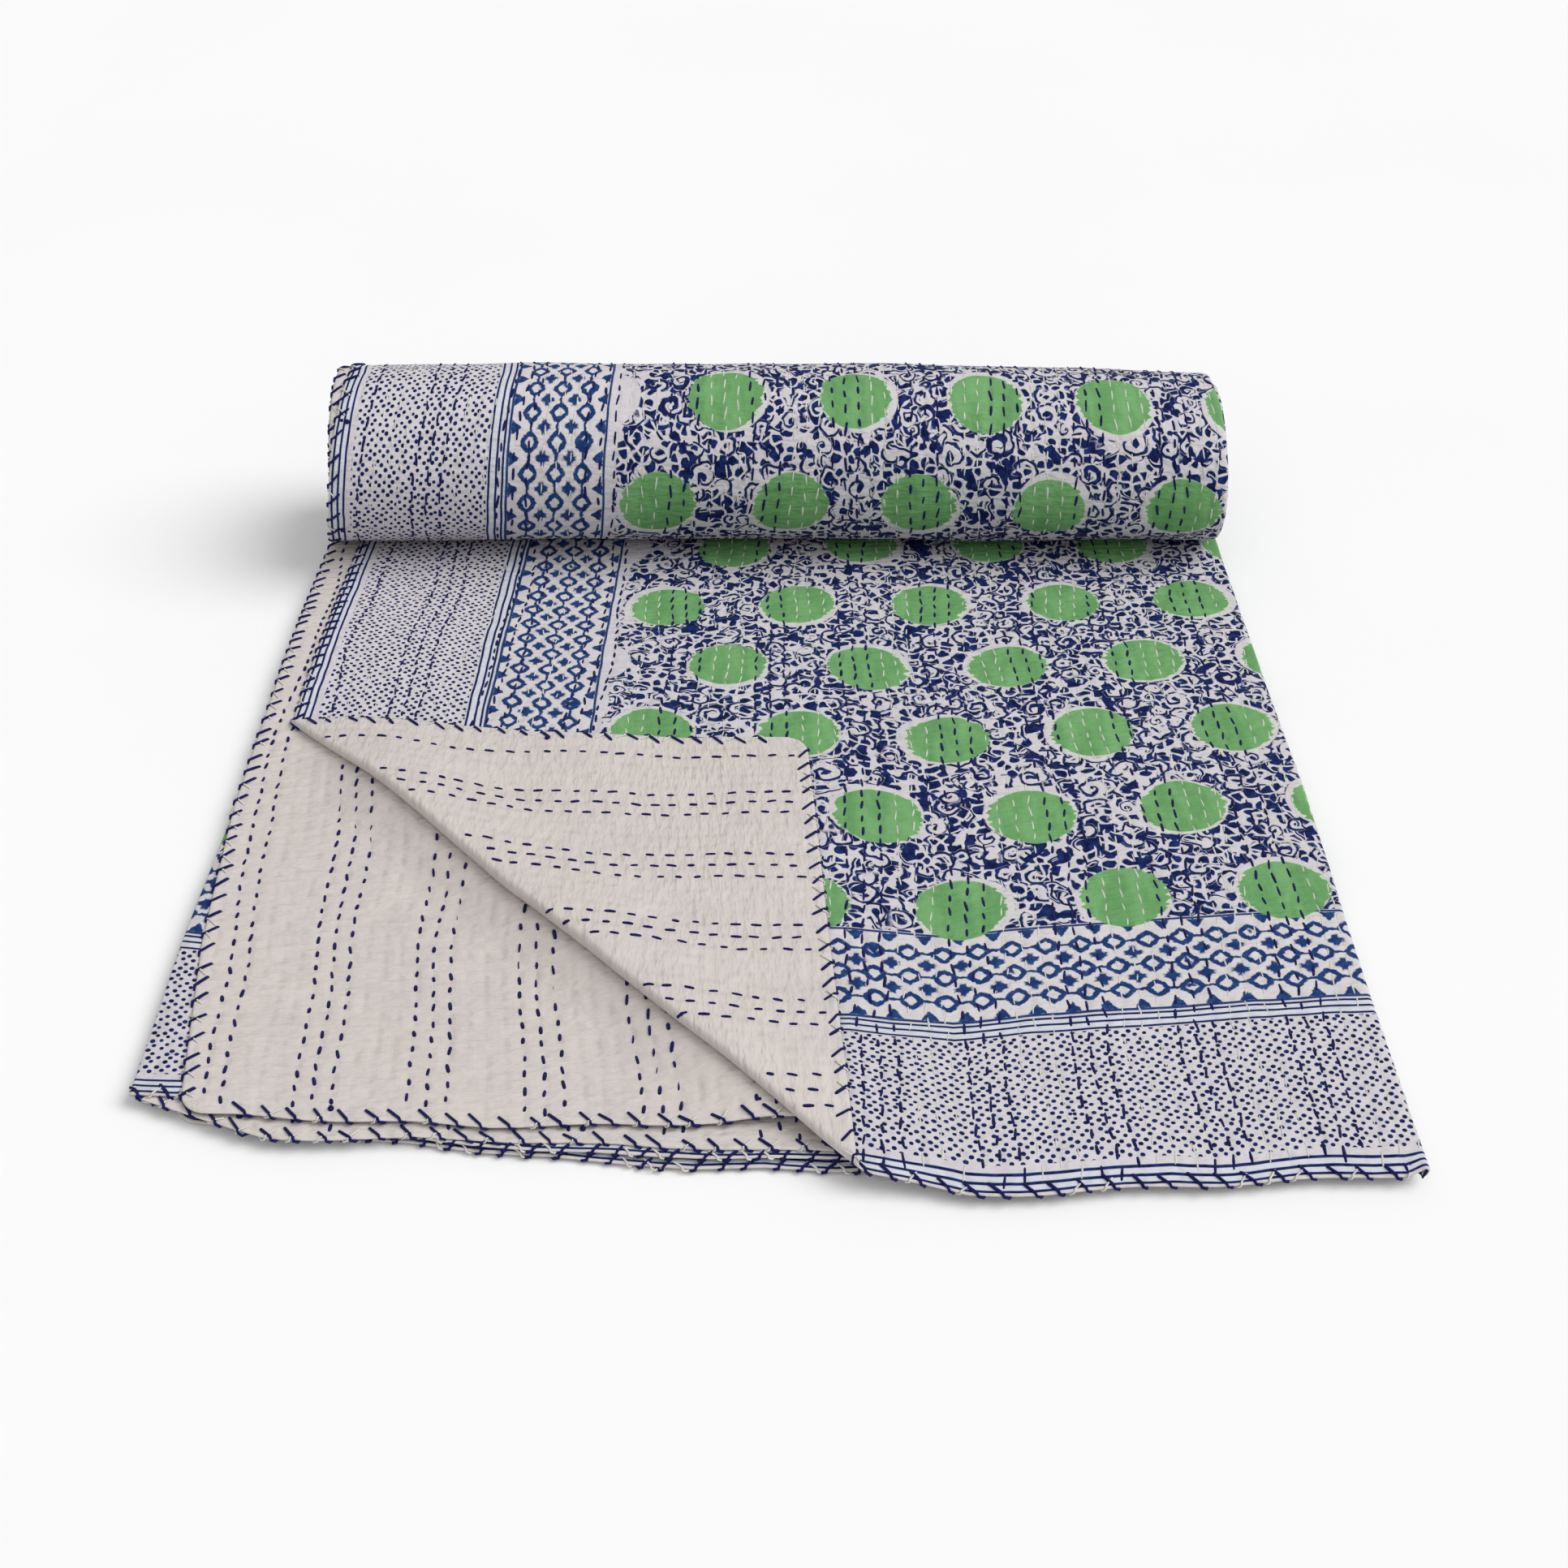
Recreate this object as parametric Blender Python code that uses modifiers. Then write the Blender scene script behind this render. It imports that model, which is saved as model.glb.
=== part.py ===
"""Kantha quilt, 90 x 108 in, folded to eight layers and rolled up from the back.

The cloth is one flat grid. It is folded across twice and along once, its far end
is wound into a roll that lies on the rest, and one corner of the top layer is turned back.
Length units are metres. X runs across the stack, -Y is its front and +Z is up.
"""

import math

import bmesh
import bpy

NAME = "quilt"
COLLECTION = "kantha_quilt"

# Cut size of the cloth.
CLOTH_WIDTH = 2.286
CLOTH_LENGTH = 2.743
CLOTH_THICKNESS = 0.0011

# The folded stack: two halves of four layers, one over the other.
LAYER_PITCH = 0.0015
STACK_WIDTH = 0.5715
FLAT_LENGTH = 0.5670
TURN_LENGTH = 0.0100
MIDDLE_HEIGHT = 3.5 * LAYER_PITCH + CLOTH_THICKNESS / 2
HALF_LENGTH = CLOTH_LENGTH / 2
FOOTPRINT_MIDDLE = (-0.0127, 0.3159)

# The roll: a spiral of the whole stack.
ROLL_PITCH = 8 * LAYER_PITCH + 0.0004
ROLL_CORE = 0.0100
ROLLED_LENGTH = HALF_LENGTH - TURN_LENGTH / 2 - FLAT_LENGTH
ROLL_SHRINK = ROLL_PITCH / (2 * math.pi)
ROLL_START = math.sqrt(2 * ROLL_SHRINK * ROLLED_LENGTH + ROLL_CORE**2)
ROLL_END_ANGLE = (ROLL_START - ROLL_CORE) / ROLL_SHRINK
ROLL_HEIGHT = ROLL_START + MIDDLE_HEIGHT
ROLL_BULGE = 0.045
ROLL_SKEW = 0.0120
ROLL_SKEW_STARTS = (0.400, 0.560)

# The folds across the stack, in layer pitches: radius, and height of the centre over the middle.
OUTER_RIGHT_FOLD = {"radius": 1.5, "height": 2.0, "inset": 1.5}
LEFT_FOLD = {"radius": 0.5, "height": 1.0, "inset": 0.5}
INNER_RIGHT_FOLD = {"radius": 0.5, "height": 2.0, "inset": 2.3}
FOLDS = (OUTER_RIGHT_FOLD, LEFT_FOLD, INNER_RIGHT_FOLD)
FOLD_ARCS = tuple(math.pi * fold["radius"] * LAYER_PITCH for fold in FOLDS)
PANEL_RUN = (CLOTH_WIDTH - sum(FOLD_ARCS)) / 4

# The corner of the top layer that is turned back: its two legs, and the fold's soft radius.
CORNER_SIDE_LEG = 0.3020
CORNER_FRONT_LEG = 0.3210
CORNER_RADIUS = 0.0035
CORNER_REST_HEIGHT = 0.0020
CORNER_SETTLE = 0.1500
CORNER_LIFT = 0.0070
CORNER_LIFT_WIDTH = 0.0550
CORNER_LIFT_ENDS = 0.1100
HEM_CORNER_RADIUS = 0.0180

# How loosely the flat layers lie in the middle, and how the top hem hangs at the front.
LOFT = 0.60
LOFT_RISES = (-0.020, 0.270)
LOFT_FALLS = (0.270, 0.540)
HEM_DROOP = 0.0050
HEM_DROOP_REACH = 0.0160
HEM_DROOP_STARTS = (0.020, 0.080)

# Where the sides of the folded stack lie, in stack widths from its centre line.
# along: distance from the front edge in stack widths.
UPPER_SIDES = (
    {"along": 0.00, "hem_1": -0.515, "hem_4": -0.494, "left": -0.545, "right": 0.501},
    {"along": 0.10, "hem_1": -0.512, "hem_4": -0.500, "left": -0.547, "right": 0.500},
    {"along": 0.30, "hem_1": -0.505, "hem_4": -0.520, "left": -0.540, "right": 0.500},
    {"along": 0.50, "hem_1": -0.498, "hem_4": -0.526, "left": -0.526, "right": 0.502},
    {"along": 0.75, "hem_1": -0.484, "hem_4": -0.516, "left": -0.508, "right": 0.499},
    {"along": 0.97, "hem_1": -0.465, "hem_4": -0.500, "left": -0.494, "right": 0.498},
    {"along": 1.30, "hem_1": -0.470, "hem_4": -0.488, "left": -0.486, "right": 0.486},
    {"along": 2.40, "hem_1": -0.478, "hem_4": -0.480, "left": -0.482, "right": 0.482},
)
LOWER_SIDES = (
    {"along": 0.00, "hem_1": -0.500, "hem_4": -0.508, "left": -0.538, "right": 0.497},
    {"along": 0.30, "hem_1": -0.505, "hem_4": -0.510, "left": -0.530, "right": 0.497},
    {"along": 0.75, "hem_1": -0.498, "hem_4": -0.504, "left": -0.506, "right": 0.497},
    {"along": 0.97, "hem_1": -0.488, "hem_4": -0.494, "left": -0.492, "right": 0.494},
    {"along": 1.10, "hem_1": -0.468, "hem_4": -0.480, "left": -0.482, "right": 0.482},
    {"along": 1.28, "hem_1": -0.461, "hem_4": -0.476, "left": -0.478, "right": 0.479},
    {"along": 1.42, "hem_1": -0.482, "hem_4": -0.478, "left": -0.480, "right": 0.487},
    {"along": 1.53, "hem_1": -0.500, "hem_4": -0.484, "left": -0.484, "right": 0.491},
    {"along": 2.40, "hem_1": -0.478, "hem_4": -0.480, "left": -0.482, "right": 0.482},
)

# How far each front hem lies behind the foremost point, in stack widths.
# across: place over the cloth in panels, from the hem of panel 1 to the hem of panel 4.
UPPER_HEM = (
    {"across": 0.00, "back": 0.104},
    {"across": 0.10, "back": 0.088},
    {"across": 0.25, "back": 0.052},
    {"across": 0.40, "back": 0.032},
    {"across": 0.55, "back": 0.022},
    {"across": 0.64, "back": 0.000},
    {"across": 0.80, "back": 0.008},
    {"across": 1.00, "back": 0.016},
    {"across": 1.10, "back": 0.040},
    {"across": 1.50, "back": 0.050},
    {"across": 1.75, "back": 0.070},
    {"across": 1.90, "back": 0.072},
    {"across": 2.00, "back": 0.124},
    {"across": 2.12, "back": 0.106},
    {"across": 2.50, "back": 0.090},
    {"across": 3.00, "back": 0.050},
    {"across": 3.47, "back": 0.075},
    {"across": 3.75, "back": 0.078},
    {"across": 4.00, "back": 0.096},
)
LOWER_HEM = (
    {"across": 0.00, "back": 0.106},
    {"across": 0.30, "back": 0.062},
    {"across": 0.55, "back": 0.046},
    {"across": 1.00, "back": 0.030},
    {"across": 1.50, "back": 0.044},
    {"across": 1.62, "back": 0.051},
    {"across": 1.84, "back": 0.078},
    {"across": 1.93, "back": 0.090},
    {"across": 2.00, "back": 0.122},
    {"across": 2.12, "back": 0.106},
    {"across": 2.50, "back": 0.062},
    {"across": 3.00, "back": 0.034},
    {"across": 3.46, "back": 0.036},
    {"across": 3.60, "back": 0.042},
    {"across": 3.85, "back": 0.078},
    {"across": 4.00, "back": 0.100},
)
UPPER_HEM_KEEPS = (0.340, 0.550)
LOWER_HEM_KEEPS = (0.050, 0.450)

# Fineness of the grid.
PANEL_STEPS = 3
FOLD_STEPS = (4, 2, 2)
TURN_STEPS = 3
ROLL_STEPS = 14
FLAT_ROWS = (0.0, 0.008, 0.018, 0.055, 0.100, 0.150, 0.210, 0.270, 0.340, 0.410, 0.480)
CORNER_CUTS = 4
CORNER_FLAP_CUTS = (0.060, 0.110)

COTTON_COLOUR = (0.62, 0.57, 0.52, 1.0)
COTTON_ROUGHNESS = 0.9


def clear_scene():
    for thing in list(bpy.data.objects):
        bpy.data.objects.remove(thing, do_unlink=True)


def smooth(value, low, high):
    """0 below low, 1 above high, with a soft ramp between."""
    part = min(max((value - low) / (high - low), 0.0), 1.0)
    return part * part * (3 - 2 * part)


def read_table(table, key, place, column):
    """A column of a table at a place between its rows."""
    for near, far in zip(table, table[1:]):
        if place <= far[key]:
            break
    part = min(max((place - near[key]) / (far[key] - near[key]), 0.0), 1.0)
    return near[column] + (far[column] - near[column]) * part


def section(u, sides):
    """Place across the stack and height over its middle, at distance u over the cloth."""
    right = sides["right"] - OUTER_RIGHT_FOLD["inset"] * LAYER_PITCH
    inner_right = sides["right"] - INNER_RIGHT_FOLD["inset"] * LAYER_PITCH
    left = sides["left"] + LEFT_FOLD["inset"] * LAYER_PITCH
    ends = (sides["hem_1"], right, right, left, left, inner_right, inner_right, sides["hem_4"])
    levels = (3.5, 0.5, 1.5, 2.5)
    for panel in range(4):
        start, end = ends[2 * panel], ends[2 * panel + 1]
        if u <= PANEL_RUN or panel == 3:
            return start + (end - start) * u / PANEL_RUN, levels[panel] * LAYER_PITCH
        u -= PANEL_RUN
        if u < FOLD_ARCS[panel]:
            return fold_point(panel, end, math.pi * (u / FOLD_ARCS[panel] - 0.5))
        u -= FOLD_ARCS[panel]


def fold_point(number, centre, angle):
    """A point on one of the folds across the stack, angle -90 to 90 degrees from panel to panel."""
    fold = FOLDS[number]
    side = -1 if fold is LEFT_FOLD else 1
    rise = -1 if fold is OUTER_RIGHT_FOLD else 1
    radius = fold["radius"] * LAYER_PITCH
    height = fold["height"] * LAYER_PITCH + rise * radius * math.sin(angle)
    return centre + side * radius * math.cos(angle), height


def roll_angle(along):
    """How far round the roll the stack's middle has come."""
    length = min(max(along - FLAT_LENGTH, 0.0), ROLLED_LENGTH)
    root = math.sqrt(ROLL_START**2 - 2 * ROLL_SHRINK * length)
    return (ROLL_START - root) / ROLL_SHRINK


def stack_point(along, over):
    """Y and Z of a point of the stack, over its middle by a height that points into the roll."""
    if along <= FLAT_LENGTH:
        return along, MIDDLE_HEIGHT + over
    angle = roll_angle(along)
    radius = ROLL_START - ROLL_SHRINK * angle - over
    return FLAT_LENGTH + radius * math.sin(angle), ROLL_HEIGHT - radius * math.cos(angle)


def turn_point(over, angle):
    """Y and Z in the fold along the stack, at the core of the roll."""
    y, z = stack_point(HALF_LENGTH, over * math.cos(angle))
    ahead = over * math.sin(angle)
    return y + ahead * math.cos(ROLL_END_ANGLE), z + ahead * math.sin(ROLL_END_ANGLE)


def round_hem_corner(u, t):
    """The cloth's corners are a little rounded: where a point of the square corner comes to lie."""
    side = min(u, CLOTH_WIDTH - u)
    end = min(t, CLOTH_LENGTH - t)
    a = 1 - side / HEM_CORNER_RADIUS
    b = 1 - end / HEM_CORNER_RADIUS
    if a <= 0 or b <= 0:
        return u, t
    inward = HEM_CORNER_RADIUS * (1 - max(a, b) / math.hypot(a, b))
    u += math.copysign(a * inward, CLOTH_WIDTH / 2 - u)
    t += math.copysign(b * inward, CLOTH_LENGTH / 2 - t)
    return u, t


def corner_lift(u, t):
    """How far the turned corner's soft fold stands off the cloth under it."""
    size = math.hypot(CORNER_SIDE_LEG, CORNER_FRONT_LEG)
    across = CORNER_SIDE_LEG / size
    forward = CORNER_FRONT_LEG / size
    if u > CLOTH_WIDTH / 4 or t > HALF_LENGTH:
        return 0.0
    away = u * across + t * forward - CORNER_SIDE_LEG * forward
    place = u * forward - t * across + CORNER_SIDE_LEG * across
    ends = smooth(place, 0.0, CORNER_LIFT_ENDS) * (1 - smooth(place, size - CORNER_LIFT_ENDS, size))
    return CORNER_LIFT * ends * (1 - smooth(away, 0.0, CORNER_LIFT_WIDTH))


def turn_corner(u, t):
    """The turned-back corner: where a flat point comes to lie, and its height over the layer."""
    size = math.hypot(CORNER_SIDE_LEG, CORNER_FRONT_LEG)
    across = CORNER_SIDE_LEG / size
    forward = CORNER_FRONT_LEG / size
    beyond = CORNER_SIDE_LEG * forward - u * across - t * forward
    if beyond <= 0 or u > CLOTH_WIDTH / 4 or t > HALF_LENGTH:
        return u, t, 0.0
    arc = math.pi * CORNER_RADIUS
    if beyond < arc:
        angle = beyond / CORNER_RADIUS
        shift = beyond - CORNER_RADIUS * math.sin(angle)
        height = CORNER_RADIUS * (1 - math.cos(angle))
    else:
        shift = 2 * beyond - arc
        settled = smooth(beyond, arc, CORNER_SETTLE)
        height = 2 * CORNER_RADIUS * (1 - settled) + CORNER_REST_HEIGHT * settled
    return u + shift * across, t + shift * forward, height


def sides_at(table, along):
    """Where the hems and folds at the sides lie, at a distance along the stack."""
    place = along / STACK_WIDTH
    return {
        side: STACK_WIDTH * read_table(table, "along", place, side)
        for side in ("hem_1", "hem_4", "left", "right")
    }


def loft(x, y):
    """How much looser the layers lie at a place of the flat part."""
    along = smooth(y, *LOFT_RISES) * (1 - smooth(y, *LOFT_FALLS))
    across = min(max(1.5 - 3 * abs(x) / STACK_WIDTH, 0.0), 1.0)
    return LOFT * along * across


def fold_cloth(u, t):
    """Where a point of the flat cloth lies in the folded quilt."""
    u, t = round_hem_corner(u, t)
    u, t, lifted = turn_corner(u, t)
    raised = corner_lift(u, t)
    upper = t <= HALF_LENGTH
    reach = t if upper else CLOTH_LENGTH - t
    hem, keeps = (UPPER_HEM, UPPER_HEM_KEEPS) if upper else (LOWER_HEM, LOWER_HEM_KEEPS)
    back = STACK_WIDTH * read_table(hem, "across", 4 * u / CLOTH_WIDTH, "back")
    along = reach + back * (1 - smooth(reach, *keeps))
    x, over = section(u, sides_at(UPPER_SIDES if upper else LOWER_SIDES, along))
    turned = (t - HALF_LENGTH) / TURN_LENGTH + 0.5
    if 0 < turned < 1:
        y, z = turn_point(over, math.pi * turned)
    else:
        y, z = stack_point(along, over if upper else -over)
    z += lifted
    if upper and u < PANEL_RUN and not lifted:
        droop = (1 - smooth(reach, 0.0, HEM_DROOP_REACH)) * smooth(x, *HEM_DROOP_STARTS)
        z -= HEM_DROOP * droop
    if along < FLAT_LENGTH:
        z += (z - CLOTH_THICKNESS / 2) * loft(x, y)
    y -= ROLL_SKEW * x / STACK_WIDTH * smooth(along, *ROLL_SKEW_STARTS)
    bulge = ROLL_BULGE * (0.4 - (2 * x / STACK_WIDTH + 0.25) ** 2)
    z *= 1 + bulge * smooth(z, 0.02, 0.06)
    z += raised
    return x - FOOTPRINT_MIDDLE[0], y - FOOTPRINT_MIDDLE[1], z


def grid_columns():
    """Distances over the cloth, hem to hem, with finer steps in the folds."""
    columns = [0.0]
    for panel in range(4):
        start = columns[-1]
        columns += [start + PANEL_RUN * (i + 1) / PANEL_STEPS for i in range(PANEL_STEPS)]
        if panel < 3:
            start, steps = columns[-1], FOLD_STEPS[panel]
            columns += [start + FOLD_ARCS[panel] * (i + 1) / steps for i in range(steps)]
    return columns


def grid_rows():
    """Distances along the cloth, hem to hem, with finer steps round the roll."""
    rows = list(FLAT_ROWS)
    count = int(ROLL_END_ANGLE * ROLL_STEPS / (2 * math.pi)) + 1
    for i in range(count):
        angle = 2 * math.pi * i / ROLL_STEPS
        rows.append(FLAT_LENGTH + ROLL_START * angle - ROLL_SHRINK * angle**2 / 2)
    rows.append(HALF_LENGTH - TURN_LENGTH / 2)
    turn = [HALF_LENGTH + TURN_LENGTH * (i / TURN_STEPS - 0.5) for i in range(1, TURN_STEPS)]
    return rows + turn + [CLOTH_LENGTH - row for row in reversed(rows)]


def split_face(mesh, face):
    """Cuts a face of the flat grid in two, along the same diagonal in all layers once folded."""
    corners = sorted(face.verts, key=lambda point: (round(point.co.y, 6), point.co.x))
    middle = face.calc_center_median()
    even_panel = int(4 * middle.x / CLOTH_WIDTH) % 2 == 1
    upper = middle.y < HALF_LENGTH
    ends = (corners[1], corners[2]) if even_panel == upper else (corners[0], corners[3])
    bmesh.utils.face_split(face, *ends)


def flat_cloth():
    """The cloth before folding, cut along the lines where its corner will bend."""
    mesh = bmesh.new()
    columns, rows = grid_columns(), grid_rows()
    bmesh.ops.create_grid(mesh, x_segments=len(columns) - 1, y_segments=len(rows) - 1, size=0.5)
    for point in mesh.verts:
        column = round((point.co.x + 0.5) * (len(columns) - 1))
        row = round((point.co.y + 0.5) * (len(rows) - 1))
        point.co = (columns[column], rows[row], 0)
    for face in mesh.faces[:]:
        split_face(mesh, face)
    size = math.hypot(CORNER_SIDE_LEG, CORNER_FRONT_LEG)
    normal = (CORNER_SIDE_LEG / size, CORNER_FRONT_LEG / size, 0)
    reach = CORNER_SIDE_LEG * CORNER_FRONT_LEG / size
    steps = [math.pi * CORNER_RADIUS * i / CORNER_CUTS for i in range(CORNER_CUTS + 1)]
    for beyond in steps + list(CORNER_FLAP_CUTS):
        place = tuple((reach - beyond) * part for part in normal)
        everything = mesh.verts[:] + mesh.edges[:] + mesh.faces[:]
        bmesh.ops.bisect_plane(mesh, geom=everything, dist=1e-6, plane_co=place, plane_no=normal)
    return mesh


def cotton():
    material = bpy.data.materials.new("cotton")
    material.use_nodes = True
    shader = material.node_tree.nodes["Principled BSDF"]
    shader.inputs["Base Color"].default_value = COTTON_COLOUR
    shader.inputs["Roughness"].default_value = COTTON_ROUGHNESS
    shader.inputs["Metallic"].default_value = 0.0
    return material


def build_quilt():
    cloth = flat_cloth()
    for point in cloth.verts:
        point.co = fold_cloth(point.co.x, point.co.y)
    mesh = bpy.data.meshes.new(NAME)
    cloth.to_mesh(mesh)
    cloth.free()
    quilt = bpy.data.objects.new(NAME, mesh)
    quilt.data.materials.append(cotton())
    solidify = quilt.modifiers.new("thickness", "SOLIDIFY")
    solidify.thickness = CLOTH_THICKNESS
    solidify.offset = 0
    solidify.use_even_offset = True
    return quilt


def main():
    clear_scene()
    group = bpy.data.collections.new(COLLECTION)
    bpy.context.scene.collection.children.link(group)
    group.objects.link(build_quilt())


main()
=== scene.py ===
"""Kantha quilt: a block-printed cotton quilt, folded and rolled, with its hand stitching.

The cloth is laid out flat as a grid of (across, along) distances from one corner, in metres.
Every piece is worked out on the flat cloth and then carried through the same folds.
"""

import math
from functools import reduce

import bmesh
import bpy
import numpy as np
from bpy.props import (
    BoolProperty,
    FloatProperty,
    FloatVectorProperty,
    IntProperty,
    PointerProperty,
)
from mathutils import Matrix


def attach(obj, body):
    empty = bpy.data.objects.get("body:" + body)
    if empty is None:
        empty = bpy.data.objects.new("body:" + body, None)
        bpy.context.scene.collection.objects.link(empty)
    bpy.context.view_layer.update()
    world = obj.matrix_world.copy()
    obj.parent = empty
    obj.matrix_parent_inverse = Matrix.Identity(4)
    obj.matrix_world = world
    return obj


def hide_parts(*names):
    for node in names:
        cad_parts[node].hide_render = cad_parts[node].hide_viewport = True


bl_info = {
    "name": "Kantha Quilt",
    "version": (1, 0, 0),
    "blender": (4, 5, 0),
    "location": "View3D > Sidebar > Quilt",
    "description": "Builds a folded and rolled kantha quilt with its print and hand stitching",
    "category": "Add Mesh",
}

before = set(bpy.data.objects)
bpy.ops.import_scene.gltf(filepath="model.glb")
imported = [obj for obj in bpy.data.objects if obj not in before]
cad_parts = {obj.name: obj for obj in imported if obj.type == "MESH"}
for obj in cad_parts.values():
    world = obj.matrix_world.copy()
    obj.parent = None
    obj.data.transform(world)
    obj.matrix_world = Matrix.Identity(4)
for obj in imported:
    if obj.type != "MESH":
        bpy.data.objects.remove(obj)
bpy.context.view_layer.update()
CAD_NODE = "quilt"

# The cloth and its folds, in metres.
CLOTH_WIDTH = 2.286
CLOTH_LENGTH = 2.743
CLOTH_THICKNESS = 0.0011
LAYER_PITCH = 0.0015
LAYERS = 8
STACK_WIDTH = 0.5715
FLAT_LENGTH = 0.5670
TURN_LENGTH = 0.0100
MIDDLE_HEIGHT = 3.5 * LAYER_PITCH + CLOTH_THICKNESS / 2
HALF_LENGTH = CLOTH_LENGTH / 2
FOOTPRINT_MIDDLE = (-0.0127, 0.3159)

ROLL_LOOSENESS = 0.0004
ROLL_PITCH = LAYERS * LAYER_PITCH + ROLL_LOOSENESS
ROLL_CORE = 0.0100
ROLLED_LENGTH = HALF_LENGTH - TURN_LENGTH / 2 - FLAT_LENGTH
ROLL_SHRINK = ROLL_PITCH / (2 * math.pi)
ROLL_START = math.sqrt(2 * ROLL_SHRINK * ROLLED_LENGTH + ROLL_CORE**2)
ROLL_END_ANGLE = (ROLL_START - ROLL_CORE) / ROLL_SHRINK
ROLL_HEIGHT = ROLL_START + MIDDLE_HEIGHT
ROLL_BULGE = 0.045
ROLL_BULGE_SHAPE = {"rise": 0.4, "shift": 0.25}
ROLL_BULGE_STARTS = (0.02, 0.06)
ROLL_SKEW = 0.0120
ROLL_SKEW_STARTS = (0.400, 0.560)

# The folds across the stack: radius, height and inset of the centre, in layer pitches.
OUTER_RIGHT_FOLD = {"radius": 1.5, "height": 2.0, "inset": 1.5}
LEFT_FOLD = {"radius": 0.5, "height": 1.0, "inset": 0.5}
INNER_RIGHT_FOLD = {"radius": 0.5, "height": 2.0, "inset": 2.3}
FOLDS = (OUTER_RIGHT_FOLD, LEFT_FOLD, INNER_RIGHT_FOLD)
FOLD_ARCS = tuple(math.pi * fold["radius"] * LAYER_PITCH for fold in FOLDS)
PANEL_RUN = (CLOTH_WIDTH - sum(FOLD_ARCS)) / 4
PANEL_LEVELS = (3.5, 0.5, 1.5, 2.5)

CORNER_SIDE_LEG = 0.3020
CORNER_FRONT_LEG = 0.3210
CORNER_SIZE = math.hypot(CORNER_SIDE_LEG, CORNER_FRONT_LEG)
CORNER_WAY = (CORNER_SIDE_LEG / CORNER_SIZE, CORNER_FRONT_LEG / CORNER_SIZE)
CORNER_FOLD = CORNER_SIDE_LEG * CORNER_FRONT_LEG / CORNER_SIZE
CORNER_RADIUS = 0.0024
CORNER_REST_HEIGHT = 0.0020
CORNER_SETTLE = 0.1500
CORNER_LIFT = 0.0100
CORNER_LIFT_WIDTHS = (0.0300, 0.0600)
CORNER_LIFT_ENDS = 0.1100
HEM_CORNER_RADIUS = 0.0130

LOFT = 0.60
LOFT_RISES = (-0.020, 0.270)
LOFT_FALLS = (0.270, 0.540)
HEM_DROOP = 0.0050
HEM_DROOP_REACH = 0.0160
HEM_DROOP_STARTS = (0.020, 0.080)

# Where the sides of the folded stack lie, in stack widths from its centre line. A row is a
# place along the stack, then hem 1, hem 4, the left fold and the right fold there.
SIDES = ("hem_1", "hem_4", "left", "right")
UPPER_SIDES = (
    (0.00, -0.515, -0.494, -0.545, 0.501),
    (0.10, -0.512, -0.500, -0.547, 0.500),
    (0.30, -0.505, -0.520, -0.540, 0.500),
    (0.50, -0.498, -0.526, -0.526, 0.502),
    (0.75, -0.484, -0.516, -0.508, 0.499),
    (0.97, -0.465, -0.500, -0.494, 0.498),
    (1.30, -0.466, -0.480, -0.479, 0.486),
    (2.40, -0.472, -0.474, -0.476, 0.482),
)
LOWER_SIDES = (
    (0.00, -0.500, -0.508, -0.538, 0.497),
    (0.30, -0.505, -0.510, -0.530, 0.497),
    (0.75, -0.498, -0.504, -0.506, 0.497),
    (0.97, -0.488, -0.494, -0.492, 0.494),
    (1.10, -0.468, -0.480, -0.482, 0.482),
    (1.28, -0.461, -0.476, -0.478, 0.479),
    (1.42, -0.482, -0.478, -0.480, 0.487),
    (1.53, -0.500, -0.484, -0.484, 0.491),
    (1.64, -0.492, -0.482, -0.480, 0.490),
    (1.76, -0.478, -0.476, -0.474, 0.488),
    (2.40, -0.472, -0.474, -0.476, 0.482),
)

# How far the front hems lie behind the foremost point, in stack widths, by the place over the
# cloth in panels, from the hem of panel 1 to the hem of panel 4.
UPPER_HEM = {
    0.00: 0.104, 0.10: 0.088, 0.25: 0.052, 0.40: 0.032, 0.55: 0.022, 0.64: 0.000, 0.80: 0.008,
    1.00: 0.016, 1.10: 0.040, 1.50: 0.050, 1.75: 0.070, 1.90: 0.072, 2.00: 0.124, 2.12: 0.106,
    2.50: 0.090, 3.00: 0.050, 3.47: 0.075, 3.75: 0.078, 4.00: 0.096,
}
LOWER_HEM = {
    0.00: 0.106, 0.30: 0.062, 0.55: 0.046, 1.00: 0.030, 1.50: 0.044, 1.62: 0.051, 1.84: 0.078,
    1.93: 0.090, 2.00: 0.122, 2.12: 0.106, 2.50: 0.062, 3.00: 0.034, 3.46: 0.036, 3.60: 0.042,
    3.85: 0.078, 4.00: 0.100,
}
UPPER_HEM_KEEPS = (0.340, 0.550)
LOWER_HEM_KEEPS = (0.050, 0.450)

# Soft waves of the flat layers: wave length, heading in degrees, height and phase.
FLAT_WAVES = (
    (0.310, 35, 0.00070, 0.6),
    (0.172, -52, 0.00045, 2.1),
    (0.098, 12, 0.00028, 4.4),
    (0.067, 78, 0.00020, 1.3),
    (0.043, -20, 0.00012, 3.2),
)
# Soft waves round the roll: whole waves a turn, wave length across, height and phase.
ROLL_WAVES = (
    (2, 0.410, 0.00060, 0.4),
    (5, -0.190, 0.00035, 2.6),
    (9, 0.110, 0.00022, 5.0),
    (14, -0.071, 0.00014, 1.9),
)
ROLL_WAVE_STARTS = (0.5, 1.6)
FLAT_WAVE_FADE = 0.05
FLAT_WAVE_MOST = 1.4
HEM_WAVE = {"length": 0.083, "height": 0.0011, "reach": 0.090}

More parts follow.
